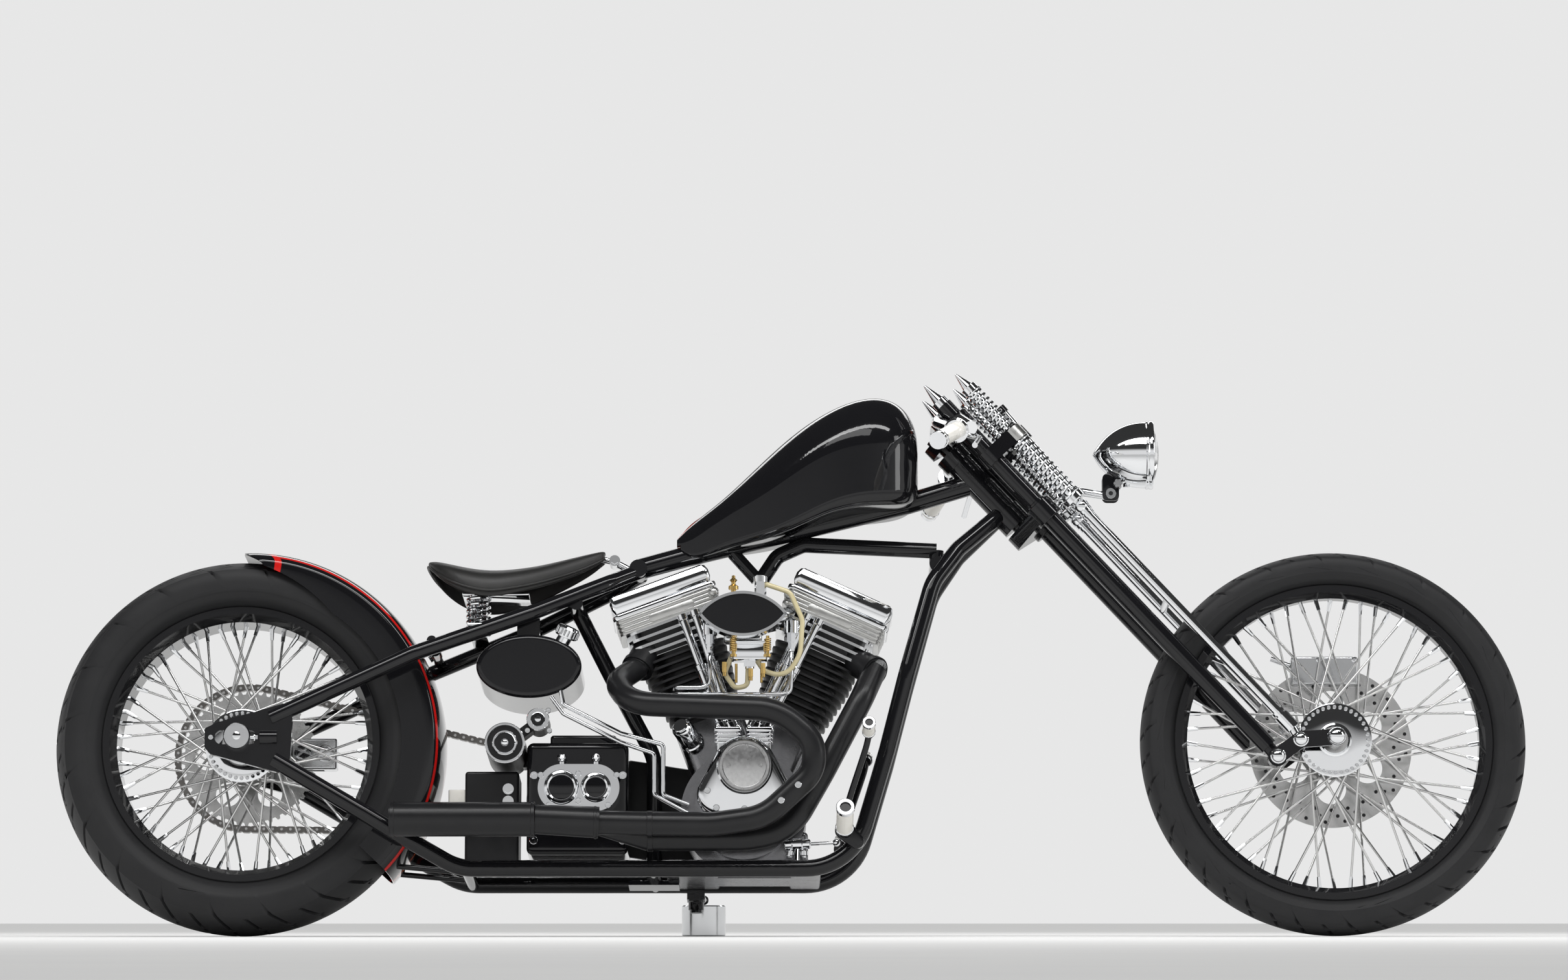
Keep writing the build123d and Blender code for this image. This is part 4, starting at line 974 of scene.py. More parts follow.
# %% [markdown]
# Gearbox and starter show round ends to the right: two ports in rings on the gearbox cover,
# with a vent above each, and the rings and caps of the starter and its solenoid. The rings are
# closed profiles, spun, so that each is a solid band with a true inner wall.

# %% Gearbox and starter
# x, radius
GEARBOX_PORTS = ((-408, 29), (-347, 25))
PORT_HEIGHT, PORT_FACE = 250, -128
COVER_SCREWS = ((-445, 272), (-310, 272), (-430, 218), (-325, 218), (-378, 274), (-378, 226))
CASE_SCREWS = ((-458, 276), (-300, 276), (-458, 160), (-300, 160))
VENT = [(0, 22), (4, 21.4), (7.5, 19), (9, 14.5), (7.5, 10), (5.2, 7.5), (5.2, 0), (0, 0)]
STARTER, SOLENOID = facing(-509, -125, 330), facing(-451, -112, 374)
# place, inner radius, outer radius, height, steps
STARTER_RINGS = ((STARTER, 31, 36.4, 3, 48), (STARTER, 18, 22.4, 6.5, 48),
                 (SOLENOID, 12, 20.4, 3, 40))


def gearbox_dress():
    bm, caps = bmesh.new(), bmesh.new()
    for x, radius in GEARBOX_PORTS:
        edge = [(radius - 6, 0), (radius - 6, 8), (radius - 3.5, 9.5), (radius, 8),
                (radius + 2, 4), (radius + 2, 0)]
        turned(bm, edge, facing(x, PORT_FACE, PORT_HEIGHT), 48, closed=True)
        turned(bm, VENT, Matrix.Translation((x, -116, 290)), 24)
        cap = [(0, 7.4), (radius - 8, 7.4), (radius - 6.4, 6.6), (radius - 6.4, 0), (0, 0)]
        turned(caps, cap, facing(x, PORT_FACE - 0.5, PORT_HEIGHT), 40)
    side_screws(bm, COVER_SCREWS, PORT_FACE + 0.5, 5.5, 5)
    side_screws(bm, CASE_SCREWS, -92, 7.5, 6)
    piece("gearbox_rings", bm, "frame", CHROME)
    piece("gearbox_port_caps", caps, "frame", GLOSS_BLACK)


def starter_rings():
    bm = bmesh.new()
    for place, inner, outer, high, steps in STARTER_RINGS:
        lip = [(inner, 0), (inner, high), (inner + 1, high + 1), (outer - 1, high + 1),
               (outer, high), (outer, 0)]
        turned(bm, lip, place, steps, closed=True)
    turned(bm, [(0, 13), (4, 12.2), (7, 9.6), (8, 6), (8, 0), (0, 0)], STARTER, 24)
    turned(bm, [(0, 8), (5, 7), (7, 4), (7, 0), (0, 0)], SOLENOID, 20)
    side_screws(bm, ((-433, 392), (-470, 356), (-431, 356)), -96, 5, 6)
    for z in (256, 234):
        hex_bolt(bm, (-505, -62, z), (0, RIGHT, 0), 8, 7)
    piece("starter_rings", bm, "frame", CHROME)


gearbox_dress()
starter_rings()

# %% [markdown]
# The only colour on the machine is a thin trim line: an orange line with red edges along the
# ridge of tank and fender, and a red band round the fender's tail that runs on along its
# shoulder. An image could hold the lines, but here the paint reads the place of each point,
# turned back upright by a Mapping node, and works out its distance to each line, so that the
# lines stay sharp at any zoom. First come the helpers for that.

# %% Helpers for trim lines
UPRIGHT = PARKED.inverted()
LINE_BLUR = 0.6


def upright_coordinates(tree):
    """Forward, left and up in millimetres on the upright machine."""
    place, turn, size = UPRIGHT.decompose()
    lean = {"Vector": node(tree, "TexCoord", {})["Object"], "Location": place,
            "Rotation": turn.to_euler(), "Scale": size}
    return node(tree, "SeparateXYZ", {"Vector": node(tree, "Mapping", lean)["Vector"]})


def lay_line(tree, inside, colour):
    """Puts a colour over the paint wherever a distance is below zero."""
    base = tree.nodes["Principled BSDF"].inputs["Base Color"]
    edge = {"From Min": LINE_BLUR, "From Max": -LINE_BLUR, "Value": inside}
    over = {"A": base.links[0].from_socket, "B": colour,
            "Factor": node(tree, "MapRange", edge)["Result"]}
    tree.links.new(node(tree, "Mix", over, data_type="RGBA")["Result"], base)


def trimmed_paint(name):
    """A copy of the black paint, with a function for sums on values in its node tree."""
    material = GLOSS_BLACK.copy()
    material.name = name
    tree = material.node_tree

    def sums(kind, *values):
        return node(tree, "Math", dict(enumerate(values)), operation=kind)["Value"]

    return material, tree, sums


# %% [markdown]
# The tank's line is a band of small distance from the machine's middle. On the fender the same
# line runs over the crown, so its length there is the angle round the wheel times the radius.
# The band at the tail bows towards the sides, which a cube of the distance gives.

# %% Paint of tank and fender
FENDER_CENTRE = Vector((-968, 0, 336))
FENDER_RADIUS = 350
RED, ORANGE = (0.50, 0.012, 0.010, 1), (0.60, 0.13, 0.02, 1)


def tank_paint():
    material, tree, sums = trimmed_paint("tank_paint")
    side = sums("ABSOLUTE", upright_coordinates(tree)["Y"])
    lay_line(tree, sums("SUBTRACT", side, 11.0), RED)
    lay_line(tree, sums("SUBTRACT", side, 7.5), ORANGE)
    return material


def fender_paint():
    material, tree, sums = trimmed_paint("fender_paint")
    at = upright_coordinates(tree)
    side = sums("ABSOLUTE", at["Y"])
    ahead = sums("SUBTRACT", at["X"], FENDER_CENTRE.x)
    above = sums("SUBTRACT", at["Z"], FENDER_CENTRE.z)
    walked = sums("MULTIPLY", sums("ARCTAN2", ahead, above), FENDER_RADIUS)
    bow = sums("POWER", sums("DIVIDE", side, 100.0), 3.0)
    past_band = sums("SUBTRACT", walked, sums("MULTIPLY_ADD", bow, 26.0, 24.0))
    band = sums("SUBTRACT", sums("ABSOLUTE", past_band), 6.5)
    shoulder = sums("SUBTRACT", sums("ABSOLUTE", sums("SUBTRACT", side, 96.0)), 3.2)
    shoulder = sums("MAXIMUM", shoulder, sums("MULTIPLY", past_band, -1.0))
    lay_line(tree, sums("MINIMUM", band, shoulder), RED)
    start = sums("SUBTRACT", 62.0, walked)
    lay_line(tree, sums("MAXIMUM", sums("SUBTRACT", side, 10.0), start), RED)
    lay_line(tree, sums("MAXIMUM", sums("SUBTRACT", side, 6.5), start), ORANGE)
    return material


FENDER_PAINT = fender_paint()
NODES["fuel_tank"].data.materials[0] = tank_paint()
NODES["rear_fender"].data.materials[0] = FENDER_PAINT
print("trim lines on tank and fender")

# %% [markdown]
# The headlamp is a chromed bullet. The lens covers a hollow reflector, so the shell is turned
# again here as one closed section: bullet outside, a rolled rim, and a deep bowl inside with
# a small bulb. Glass looks like glass only when there is something behind it to bend.

# %% Headlamp
LAMP_HEIGHT = 873
LAMP_AXIS = Matrix.Translation((0, 0, LAMP_HEIGHT)) @ Matrix.Rotation(math.radians(90), 4, "Y")
LAMP_RIM = [(60, 640), (62, 641.5), (62.4, 644), (61, 646), (61.6, 647.5), (62.4, 649.5),
            (62.4, 652), (61, 654), (58, 654.4), (55.4, 653)]
BOWL_RADIUS, BOWL_DEPTH, BOWL_STEPS = 54, 44, 8
BULB = [(0, 634), (4, 633), (6.5, 629), (7, 623), (5, 616), (5, 601), (0, 601)]


def headlamp():
    bm = bmesh.new()
    outside = [(radius, x) for x, radius in arc((545, 0.01), (580, 42), (640, 60), 20)]
    bowl = [(BOWL_RADIUS * math.sqrt(1 - i / BOWL_STEPS), 646 - BOWL_DEPTH * i / BOWL_STEPS)
            for i in range(BOWL_STEPS)]
    section = outside + LAMP_RIM + [(55.0, 648)] + bowl + [(0.01, 646 - BOWL_DEPTH)]
    turned(bm, section, LAMP_AXIS, 64)
    made = piece("headlamp_bullet", bm, "fork", CHROME, 40)
    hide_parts("headlamp_shell")
    bulb = bmesh.new()
    turned(bulb, BULB, LAMP_AXIS, 24)
    piece("headlamp_bulb", bulb, "fork", IVORY)


headlamp()

# %% [markdown]
# A black bracket with star knobs holds the lamp to its stay, one bent chromed rod. The rod is a
# curve with a round bevel, since a curve bends a rod smoothly through a few points, where an
# extruded mesh would need many rings.

# %% Lamp bracket and stay
BRACKET_X, KNOB = 577, Vector((590, 0, 818))
LAMP_STAY = ((380, 0, 957), (390, 0, 945), (440, 0, 886), (488, 0, 829), (506, 0, 808),
             (533, 0, 804), (570, 0, 798))


def lamp_bracket():
    bm, knobs = bmesh.new(), bmesh.new()
    for side in (RIGHT, LEFT):
        slab(bm, facing(BRACKET_X, side * 12, 812), (15, 25), -2, 2, 9, 0.6)
        turned(knobs, [(4, 0), (4, 3), (9, 3), (10, 1.5), (10, 0)],
               facing(BRACKET_X, side * 14, 800, side), 28, closed=True)
        for x, z in ring_places(KNOB, 5, 6):
            bar(knobs, (x, side * 14, z), (x, side * 19, z), 3.2, 10)
        bar(knobs, (KNOB.x, side * 13, KNOB.z), (KNOB.x, side * 20, KNOB.z), 4.5, 16)
    pillar(knobs, 606, 0, 814, 836, 6, 12)
    piece("lamp_bracket", bm, "fork", GLOSS_BLACK)
    piece("lamp_knobs", knobs, "fork", CHROME)


lamp_bracket()
bent_rod("lamp_stay_rod", LAMP_STAY, 7.6, "fork", CHROME)

# %% [markdown]
# Small fittings finish the fork: pinch bolts on the yokes, bright balls and collars where the
# rods leave the springs, and domed nuts at every pivot of the rocker below. A brushed band
# closes the end of each black bridge between the springs. All are placed in the fork's own
# raked frame, so that their heights are measured along the fork, as a maker would.

# %% Fork fittings
ROCKER_PIVOT, ROCKER_EYE = Vector((867, 0, 311)), Vector((908, 0, 341.5))
ROCKER_FACE = 92.2
AXLE_CAP = [(0, 24), (6, 23), (10.5, 20.8), (13.6, 17.8), (15, 15.2), (15.5, 12), (17, 10),
            (17, 0), (0, 0)]
LEG_AHEAD, LEG_RADIUS = 42.6, 16.6
# low end, high end, radius
CLAMPS = ((-134, -97, 25.5), (92, 120, 25.5), (-100, -92, 19), (84, 93, 19))


def fork_fittings():
    bm = bmesh.new()
    for side in (RIGHT, LEFT):
        for point in (ROCKER_PIVOT, ROCKER_EYE):
            acorn(bm, (point.x, side * ROCKER_FACE, point.z), (0, side, 0), 14, 15)
        turned(bm, AXLE_CAP, facing(FRONT_AXLE.x, side * ROCKER_FACE, FRONT_AXLE.z, side), 28)
        y = side * LEG_SIDE
        ball = fork_point(ROD_AHEAD, y, -154)
        bmesh.ops.create_uvsphere(bm, u_segments=24, v_segments=14, radius=14,
                                  matrix=Matrix.Translation(ball))
        for up, radius in ((-168, 12.5), (-176, 11), (-668, 13)):
            bar(bm, fork_point(ROD_AHEAD, y, up), fork_point(ROD_AHEAD, y, up + 6), radius, 20)
        for up in (-115, 107):
            forward = FORK.to_3x3() @ Vector((1, 0, 0))
            hex_bolt(bm, fork_point(68, side * 60, up), forward, 6, 6)
    piece("fork_fittings", bm, "fork", CHROME)


def leg_clamps():
    """Black collars on the legs above and below each yoke."""
    bm = bmesh.new()
    for side in (-LEG_SIDE, LEG_SIDE):
        for low, high, radius in CLAMPS:
            place = aimed(fork_point(LEG_AHEAD, side, low), fork_point(LEG_AHEAD, side, high))
            turned(bm, ring(LEG_RADIUS, radius, high - low, 1), place, 32, closed=True)
    piece("fork_leg_clamps", bm, "fork", GLOSS_BLACK)


def spring_bands():
    bm = bmesh.new()
    for side in (-LEG_SIDE, LEG_SIDE):
        place = aimed(fork_point(ROD_AHEAD, side, 9), fork_point(ROD_AHEAD, side, 35))
        turned(bm, ring(18, 21.2, 26, 0.8), place, 40, closed=True)
    piece("spring_bands", bm, "fork", BRUSHED)


fork_fittings()
leg_clamps()
spring_bands()

# %% [markdown]
# Grips and pegs are ivory sleeves between bright rings, and a peg's end has a hollow with a
# black plug. A Mirror modifier could double them, but the machine leans, so each place is
# mirrored while it is still upright.

# %% Grips and pegs
SLEEVE_RING = ring(10, 16.6, 6.2, 1.2)
GRIP_FLANGE = [(10, 0), (21, 0), (22.5, 2), (22.5, 5), (19, 8), (10, 8)]
GRIP_INNER, GRIP_OUTER = (294, 252.2, 872), (259, 366, 833)
PEG_TIP = [(0, -3), (9.5, -3), (9.5, 4.4), (10.4, 5.2), (15, 5.2), (16.4, 4), (16.4, -4),
           (15.2, -5), (0, -5)]
PEG_PLUG = [(0, 1), (9.4, 1), (9.4, -4), (0, -4)]
# inner end and outer end on the left, and size against the main peg
PEGS = (((94, 156, 173), (95, 232, 200), 1), ((137, 184, 341), (137, 224, 352), 0.72))


def mirrored(point, side):
    """A point of the left side, on either side."""
    x, y, z = point
    return Vector((x, side * y, z))


def sleeve_rings():
    """Bright rings at the ends of grips and pegs."""
    grips, feet, plugs = bmesh.new(), bmesh.new(), bmesh.new()
    for side in (RIGHT, LEFT):
        inner, outer = mirrored(GRIP_INNER, side), mirrored(GRIP_OUTER, side)
        way = (outer - inner).normalized()
        turned(grips, GRIP_FLANGE, aimed(inner + way * 2, outer), 32, closed=True)
        turned(grips, SLEEVE_RING, aimed(outer - way * 10, outer), 32, closed=True)
        for start, end, size in PEGS:
            start, end = mirrored(start, side), mirrored(end, side)
            scale = Matrix.Diagonal((size, size, size, 1))
            far = aimed(end, end * 2 - start) @ scale
            turned(feet, PEG_TIP, far, 28)
            turned(plugs, PEG_PLUG, far, 24)
            turned(feet, SLEEVE_RING, aimed(start, end) @ scale, 28, closed=True)
    piece("grip_rings", grips, "fork", CHROME)
    piece("peg_rings", feet, "frame", CHROME)
    piece("peg_end_plugs", plugs, "frame", GLOSS_BLACK)


sleeve_rings()

# %% [markdown]
# The rear fender is one domed sheet with a rounded tail. A flat grid is rolled round the wheel:
# its rows follow the wheel's turn and its columns the domed section, and the rows near the tail
# are pulled forward towards the edges, which rounds the end. The outer columns hang straight
# down as a skirt. Solidify then gives the sheet its thickness.

# %% Rear fender
FENDER_HALF, FENDER_RISE = 106, 32
FENDER_LIP = FENDER_RADIUS - FENDER_RISE
CROWN_POWER, SIDE_POWER = 0.62, 0.9
TAIL_ANGLE, TAIL_PULL, TOE_ANGLE = (math.radians(angle) for angle in (-2.5, 7, 133))
FENDER_GRID, FENDER_THICK = (90, 36), 3.2
SKIRT, SKIRT_FROM, SKIRT_GROWS = 44, 0.88, 0.22


def fender_point(share, across):
    """A point of the sheet: share runs from tail to toe, across from -1 to 1."""
    over = max(-1, min(1, across / SKIRT_FROM))
    bend = over * math.pi / 2
    rise = math.cos(bend) ** CROWN_POWER if abs(over) < 1 else 0
    down = max(0, abs(across) - SKIRT_FROM) / (1 - SKIRT_FROM)
    radius = FENDER_LIP + FENDER_RISE * rise - SKIRT * min(1, share / SKIRT_GROWS) * down
    side = FENDER_HALF * math.copysign(abs(math.sin(bend)) ** SIDE_POWER, across)
    tail = TAIL_ANGLE + TAIL_PULL * abs(over) ** 3
    angle = tail + (TOE_ANGLE - tail) * share
    return FENDER_CENTRE + Vector((radius * math.sin(angle), side, radius * math.cos(angle)))


def rear_fender():
    bm = bmesh.new()
    rows, columns = FENDER_GRID
    bmesh.ops.create_grid(bm, x_segments=rows, y_segments=columns, size=0.5)
    for vert in bm.verts:
        vert.co = fender_point(vert.co.x + 0.5, 2 * vert.co.y)
    bmesh.ops.recalc_face_normals(bm, faces=bm.faces)
    if bm.faces[:][0].normal.z < 0:
        bmesh.ops.reverse_faces(bm, faces=bm.faces[:])
    bmesh.ops.solidify(bm, geom=bm.faces[:], thickness=FENDER_THICK)
    bar(bm, (-640, -30, 511), (-640, 30, 511), 11, 20)
    for side in (-60, 60):
        bar(bm, (-640, side / 2, 511), (-652, side / 2, 503), 6, 12)
        bar(bm, (-708, side, 118), (-577, side, 106), 5, 12)
    made = piece("rear_fender_skin", bm, "frame", FENDER_PAINT, 40)
    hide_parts("rear_fender")


rear_fender()

# %% [markdown]
# Each hub has a bright cover with a ring of small screws on the right, and bolts for the disc
# or the sprocket on the left. An array about an empty would set them too, but a loop over a
# circle keeps them in one mesh, which turns with its wheel.

# %% Hub details
HUB_SCREWS, HUB_BOLTS = 36, 6
FRONT_COVER = [(25, -1), (25, 1.4), (64, 1.4), (66.4, 0.6), (66.4, -5), (60, -5), (60, -1)]
FRONT_COLLAR = [(24, 0), (24, 2.5), (27, 3.5), (30, 2.5), (31, 0)]
REAR_COVER = [(37, 0), (37, 2), (64, 2), (66, 1), (66, -3), (62, -3), (62, 0)]


def hub_details():
    bm, rear = bmesh.new(), bmesh.new()
    front_face = facing(FRONT_AXLE.x, -50, FRONT_AXLE.z)
    turned(bm, FRONT_COVER, front_face, 72, closed=True)
    turned(bm, FRONT_COLLAR, front_face, 48, closed=True)
    side_screws(bm, ring_places(FRONT_AXLE, 60, HUB_SCREWS), -51, 3.4, 3)
    side_screws(bm, ring_places(FRONT_AXLE, 34, HUB_BOLTS), 50.2, 6, 5, LEFT)
    piece("front_hub_details", bm, "front_wheel", CHROME)
    turned(rear, REAR_COVER, facing(REAR_AXLE.x, -47, REAR_AXLE.z), 72, closed=True)
    side_screws(rear, ring_places(REAR_AXLE, 59, HUB_SCREWS), -48.5, 3.4, 3)
    side_screws(rear, ring_places(REAR_AXLE, 36, HUB_BOLTS), 125, 6, 5, LEFT)
    piece("rear_hub_details", rear, "rear_wheel", CHROME)


hub_details()

# %% [markdown]
# The disc is drilled, and the calipers show the rims of their pistons. Cutting holes through a
# disc is slow and makes long thin faces, so each hole is a dark plug a hair proud of both sides.

# %% Brake details
DISC_FACES, DISC_HOLES = (46.1, 50.3), 24
# radius and turn of each circle of holes
HOLE_CIRCLES = ((114, 0), (125, 0.09), (136, 0.18))
FRONT_PISTON = [(0, 3), (12, 3), (13, 4), (17, 4), (18, 2.8), (18, 0), (0, 0)]
REAR_PISTON = [(0, 3), (11, 3), (12, 4), (15, 4), (16, 2.8), (16, 0), (0, 0)]


def disc_holes():
    """Dark drilled holes of the brake disc."""
    bm = bmesh.new()
    for radius, turn in HOLE_CIRCLES:
        for x, z in ring_places(FRONT_AXLE, radius, DISC_HOLES, turn):
            bar(bm, (x, DISC_FACES[0], z), (x, DISC_FACES[1], z), 3.4, 10)
    piece("disc_holes", bm, "front_wheel", BLACK_CASE)


def caliper_details():
    """Pistons on both calipers, with screws and a hose end on the front one."""
    bm, rear = bmesh.new(), bmesh.new()
    at = FRONT_AXLE
    for x in (-42, 2):
        turned(bm, FRONT_PISTON, facing(at.x + x, 80.2, at.z + 138, LEFT), 32)
    side_screws(bm, [(at.x + x, at.z + 158) for x in (-64, 44, -20)], 34, 5, 1.2)
    bar(bm, at + Vector((-70, 60, 150)), at + Vector((-104, 66, 164)), 5, 12)
    piece("front_caliper_details", bm, "fork", CHROME)
    for x in (98, 138):
        turned(rear, REAR_PISTON, facing(REAR_AXLE.x + x, 99.8, 342), 32)
    piece("rear_caliper_details", rear, "frame", CHROME)


disc_holes()
caliper_details()

# %% [markdown]
# The rear axle can slide in its slots, to tighten the chain: a nut and cap on each end, and a
# bolt ahead of it that pulls. Turned profiles and bars are enough, drawn once for both sides.

# %% Axle adjusters
AXLE_NUT = [(0, 21), (7, 20), (12, 16), (12.5, 15), (19.6, 15), (19.6, 20.4), (22, 20.4),
            (24, 17), (24, 0), (0, 0)]
PLATE_FACE, BOLT_SIDE, BOSS_SIDE = 156, 150, 151


def axle_adjusters():
    bm, black = bmesh.new(), bmesh.new()
    x, z = REAR_AXLE.x, REAR_AXLE.z
    for side in (RIGHT, LEFT):
        turned(bm, AXLE_NUT, facing(x, side * PLATE_FACE, z, side), 32)
        hex_bolt(bm, (x + 30, side * BOLT_SIDE, z), (1, 0, 0), 7, 6)
        bar(bm, (x + 24, side * BOLT_SIDE, z), (x + 92, side * BOLT_SIDE, z), 4, 12)
        side_screws(bm, ((x - 47, z),), side * PLATE_FACE, 4.5, 3, side)
        bar(black, (x + 40, side * BOSS_SIDE, z), (x + 70, side * BOSS_SIDE, z), 13, 28)
    piece("axle_adjusters", bm, "frame", CHROME)
    piece("adjuster_bosses", black, "frame", GLOSS_BLACK)


axle_adjusters()

# %% [markdown]
# The chain's pins stand at equal steps along the loop that the chain makes: an arc round each
# sprocket and two straight runs that touch both. An array along a curve would need a curve of
# exactly that length, so the loop is worked out from the sprockets' teeth and walked along.

# %% Chain pins
CHAIN_PITCH, CHAIN_SIDE, PIN_HALF = 15.875, 122, 9.5
SPROCKET_TEETH, DRIVE_TEETH = 51, 24
GEARBOX_SHAFT = Vector((-392, 0, 262))


def past_arc(centre, radius, turn, beyond):
    """A point on a circle, or as far beyond it along the straight that leaves it there."""
    out = Vector((math.cos(turn), 0, math.sin(turn)))
    return centre + radius * out + beyond * Vector((-out.z, 0, out.x))


def chain_loop():
    """Places of the chain's pins round both sprockets."""
    big, small = (CHAIN_PITCH / (2 * math.sin(math.pi / teeth))
                  for teeth in (SPROCKET_TEETH, DRIVE_TEETH))
    span = GEARBOX_SHAFT - REAR_AXLE
    base = math.atan2(span.z, span.x)
    spread = math.acos((big - small) / span.length)
    straight = math.sqrt(span.length_squared - (big - small) ** 2)
    # centre, radius, where its arc starts, and how far it turns
    arcs = ((REAR_AXLE, big, base + spread, 2 * math.pi - 2 * spread),
            (GEARBOX_SHAFT, small, base - spread, 2 * spread))
    total = sum(radius * sweep + straight for centre, radius, start, sweep in arcs)
    count = 2 * round(total / CHAIN_PITCH / 2)
    for i in range(count):
        way = i * total / count
        for centre, radius, start, sweep in arcs:
            if 0 <= way < radius * sweep + straight:
                on_arc = min(way, radius * sweep)
                yield past_arc(centre, radius, start + on_arc / radius, way - on_arc)
            way -= radius * sweep + straight


def chain_pins():
    bm = bmesh.new()
    for place in chain_loop():
        bar(bm, (place.x, CHAIN_SIDE - PIN_HALF, place.z),
            (place.x, CHAIN_SIDE + PIN_HALF, place.z), 2.6, 8)
    piece("chain_pins", bm, "frame", STAINLESS)


chain_pins()

# %% [markdown]
# The exhaust is plain satin black. Bands mark where pipe, collector and muffler meet, a
# rolled ring closes the muffler's end, and two bright screws hold the heat shield. Collars
# close the exhaust ports at the heads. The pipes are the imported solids, and a ring with eased
# edges is all that a joint between two of them needs.

# %% Exhaust bands and collars
MUFFLER_SIDE, MUFFLER_HEIGHT = -191, 185
# place, inner radius, outer radius, width
BANDS = (((-704, MUFFLER_SIDE, MUFFLER_HEIGHT), 22, 31.6, 8),
         ((-456, MUFFLER_SIDE, MUFFLER_HEIGHT), 26, 31.6, 7),
         ((-346, -185, 180), 21, 29, 5), ((-250, -185, 178), 21, 22.8, 10),
         ((-250, -138, 157), 21, 22.8, 10))
# inner end and outer end of each exhaust port
PORTS = (((-250, -30, 524), (-277, -68, 470)), ((108, -36, 494), (151, -84, 462)))


def exhaust_bands():
    bm, screws, collars = bmesh.new(), bmesh.new(), bmesh.new()
    for place, inner, outer, wide in BANDS:
        start = Vector(place) - Vector((wide / 2, 0, 0))
        turned(bm, ring(inner, outer, wide, 0.8), aimed(start, start + Vector((1, 0, 0))), 40,
               closed=True)
    piece("exhaust_bands", bm, "frame", SATIN_BLACK)
    side_screws(screws, ((12, 244.5), (-18, 216.8)), -205.5, 6, 4)
    piece("shield_screws", screws, "frame", CHROME)
    for inner, outer in PORTS:
        inner, outer = Vector(inner), Vector(outer)
        way = (outer - inner).normalized()
        bar(collars, inner, outer, 26.4, 40)
        bar(collars, outer - way * 12, outer - way * 3, 29, 40)
    piece("exhaust_collars", collars, "frame", SATIN_BLACK)


exhaust_bands()

# %% [markdown]
# The left side shows the primary case: two round covers ringed with screws, and the oil
# tank's filler has a ribbed cap. A pale terminal box sits at the back of the battery. A ribbed
# cap could be cut with grooves; thin bars laid round a smooth one look the same with fewer faces.

# %% Primary case, oil cap and battery
# centre, face, circle of screws, count
PRIMARY_COVERS = ((GEARBOX_SHAFT, 186, 70, 8), (CRANK, 182, 54, 6))
PRIMARY_SCREWS = ((-150, 314), (-240, 332), (-330, 340), (-150, 138), (-240, 156), (-330, 178))
OIL_CAP = [(13, -3), (19.4, -3), (20.6, -1), (20.6, 13), (18, 16.5), (12, 17.5), (0, 17.5),
           (0, 0), (13, 0)]
CAP_RIBS, CAP_RIB_RADIUS = 20, 20.4


def primary_details():
    bm = bmesh.new()
    for centre, face, radius, count in PRIMARY_COVERS:
        place = facing(centre.x, face, centre.z, LEFT)
        inner, outer = radius - 22, radius - 10
        lip = [(inner, 0), (inner, 3), (inner + 2, 4), (outer - 2, 4), (outer, 2.5), (outer, 0)]
        turned(bm, lip, place, 64, closed=True)
        turned(bm, [(0, 6), (14, 5), (18, 3), (18, 0), (0, 0)], place, 40)
        side_screws(bm, ring_places(centre, radius, count, 0.3), face, 5.5, 4, LEFT)
    side_screws(bm, PRIMARY_SCREWS, 172, 6, 5, LEFT)
    piece("primary_details", bm, "frame", CHROME)


def oil_cap():
    bm = bmesh.new()
    start, end = Vector((-402, -99, 527)), Vector((-396, -102, 540))
    way = (end - start).normalized()
    place = aimed(start, end)
    turned(bm, OIL_CAP, place, 40, closed=True)
    for i in range(CAP_RIBS):
        a = 2 * math.pi * i / CAP_RIBS
        foot = place @ (CAP_RIB_RADIUS * Vector((math.cos(a), math.sin(a), 0)))
        bar(bm, foot, foot + way * 12, 1.6, 8)
    piece("oil_filler_cap", bm, "frame", CHROME)


def terminal_box():
    bm = bmesh.new()
    slab(bm, Matrix.Translation((-596, -34, 242)), (16, 20), -14, 14, 4, 1.5)
    piece("battery_terminal_box", bm, "frame", IVORY)


primary_details()
oil_cap()
terminal_box()

# %% [markdown]
# The timing case is a chromed cover that wraps round three circles: the ignition above and the
# two cam gears below. The hull of circles at two depths is exactly that outline, and a broad
# bevel on its outer edge gives the curve that makes chrome look like chrome. Finned lifter
# blocks stand on it, under the pushrods.

# %% Timing case and lifter blocks
# x, z, radius
TIMING_ROUNDS = ((-83, 287, 57), (-126, 238, 42), (-40, 238, 42))
TIMING_INNER, TIMING_EASE = 100, 13
IGNITION_BOSS = [(0, 39), (47, 39), (50, 36), (50, 20), (0, 20)]
LIFTERS, LIFTER_SIDE, LIFTER_FINS = (-113, -56), -99, (332, 339, 346)


def wrapped(rounds, low, high, ease, place):
    """A body whose outline wraps round circles, its top edge rounded."""
    bm = bmesh.new()
    for x, y, radius in rounds:
        for level in (low, high):
            bmesh.ops.create_circle(bm, segments=64, radius=radius,
                                    matrix=Matrix.Translation((x, y, level)))
    hull = bmesh.ops.convex_hull(bm, input=bm.verts[:])
    inside = {item for item in hull["geom_interior"] + hull["geom_unused"]
              if isinstance(item, bmesh.types.BMVert)}
    bmesh.ops.delete(bm, geom=list(inside), context="VERTS")
    bmesh.ops.dissolve_limit(bm, angle_limit=math.radians(1), verts=bm.verts[:],
                             edges=bm.edges[:])
    rim = [edge for edge in bm.edges if all(abs(vert.co.z - high) < 1e-3 for vert in edge.verts)]
    rounded(bm, rim, ease, 5)
    bm.transform(place)
    return bm


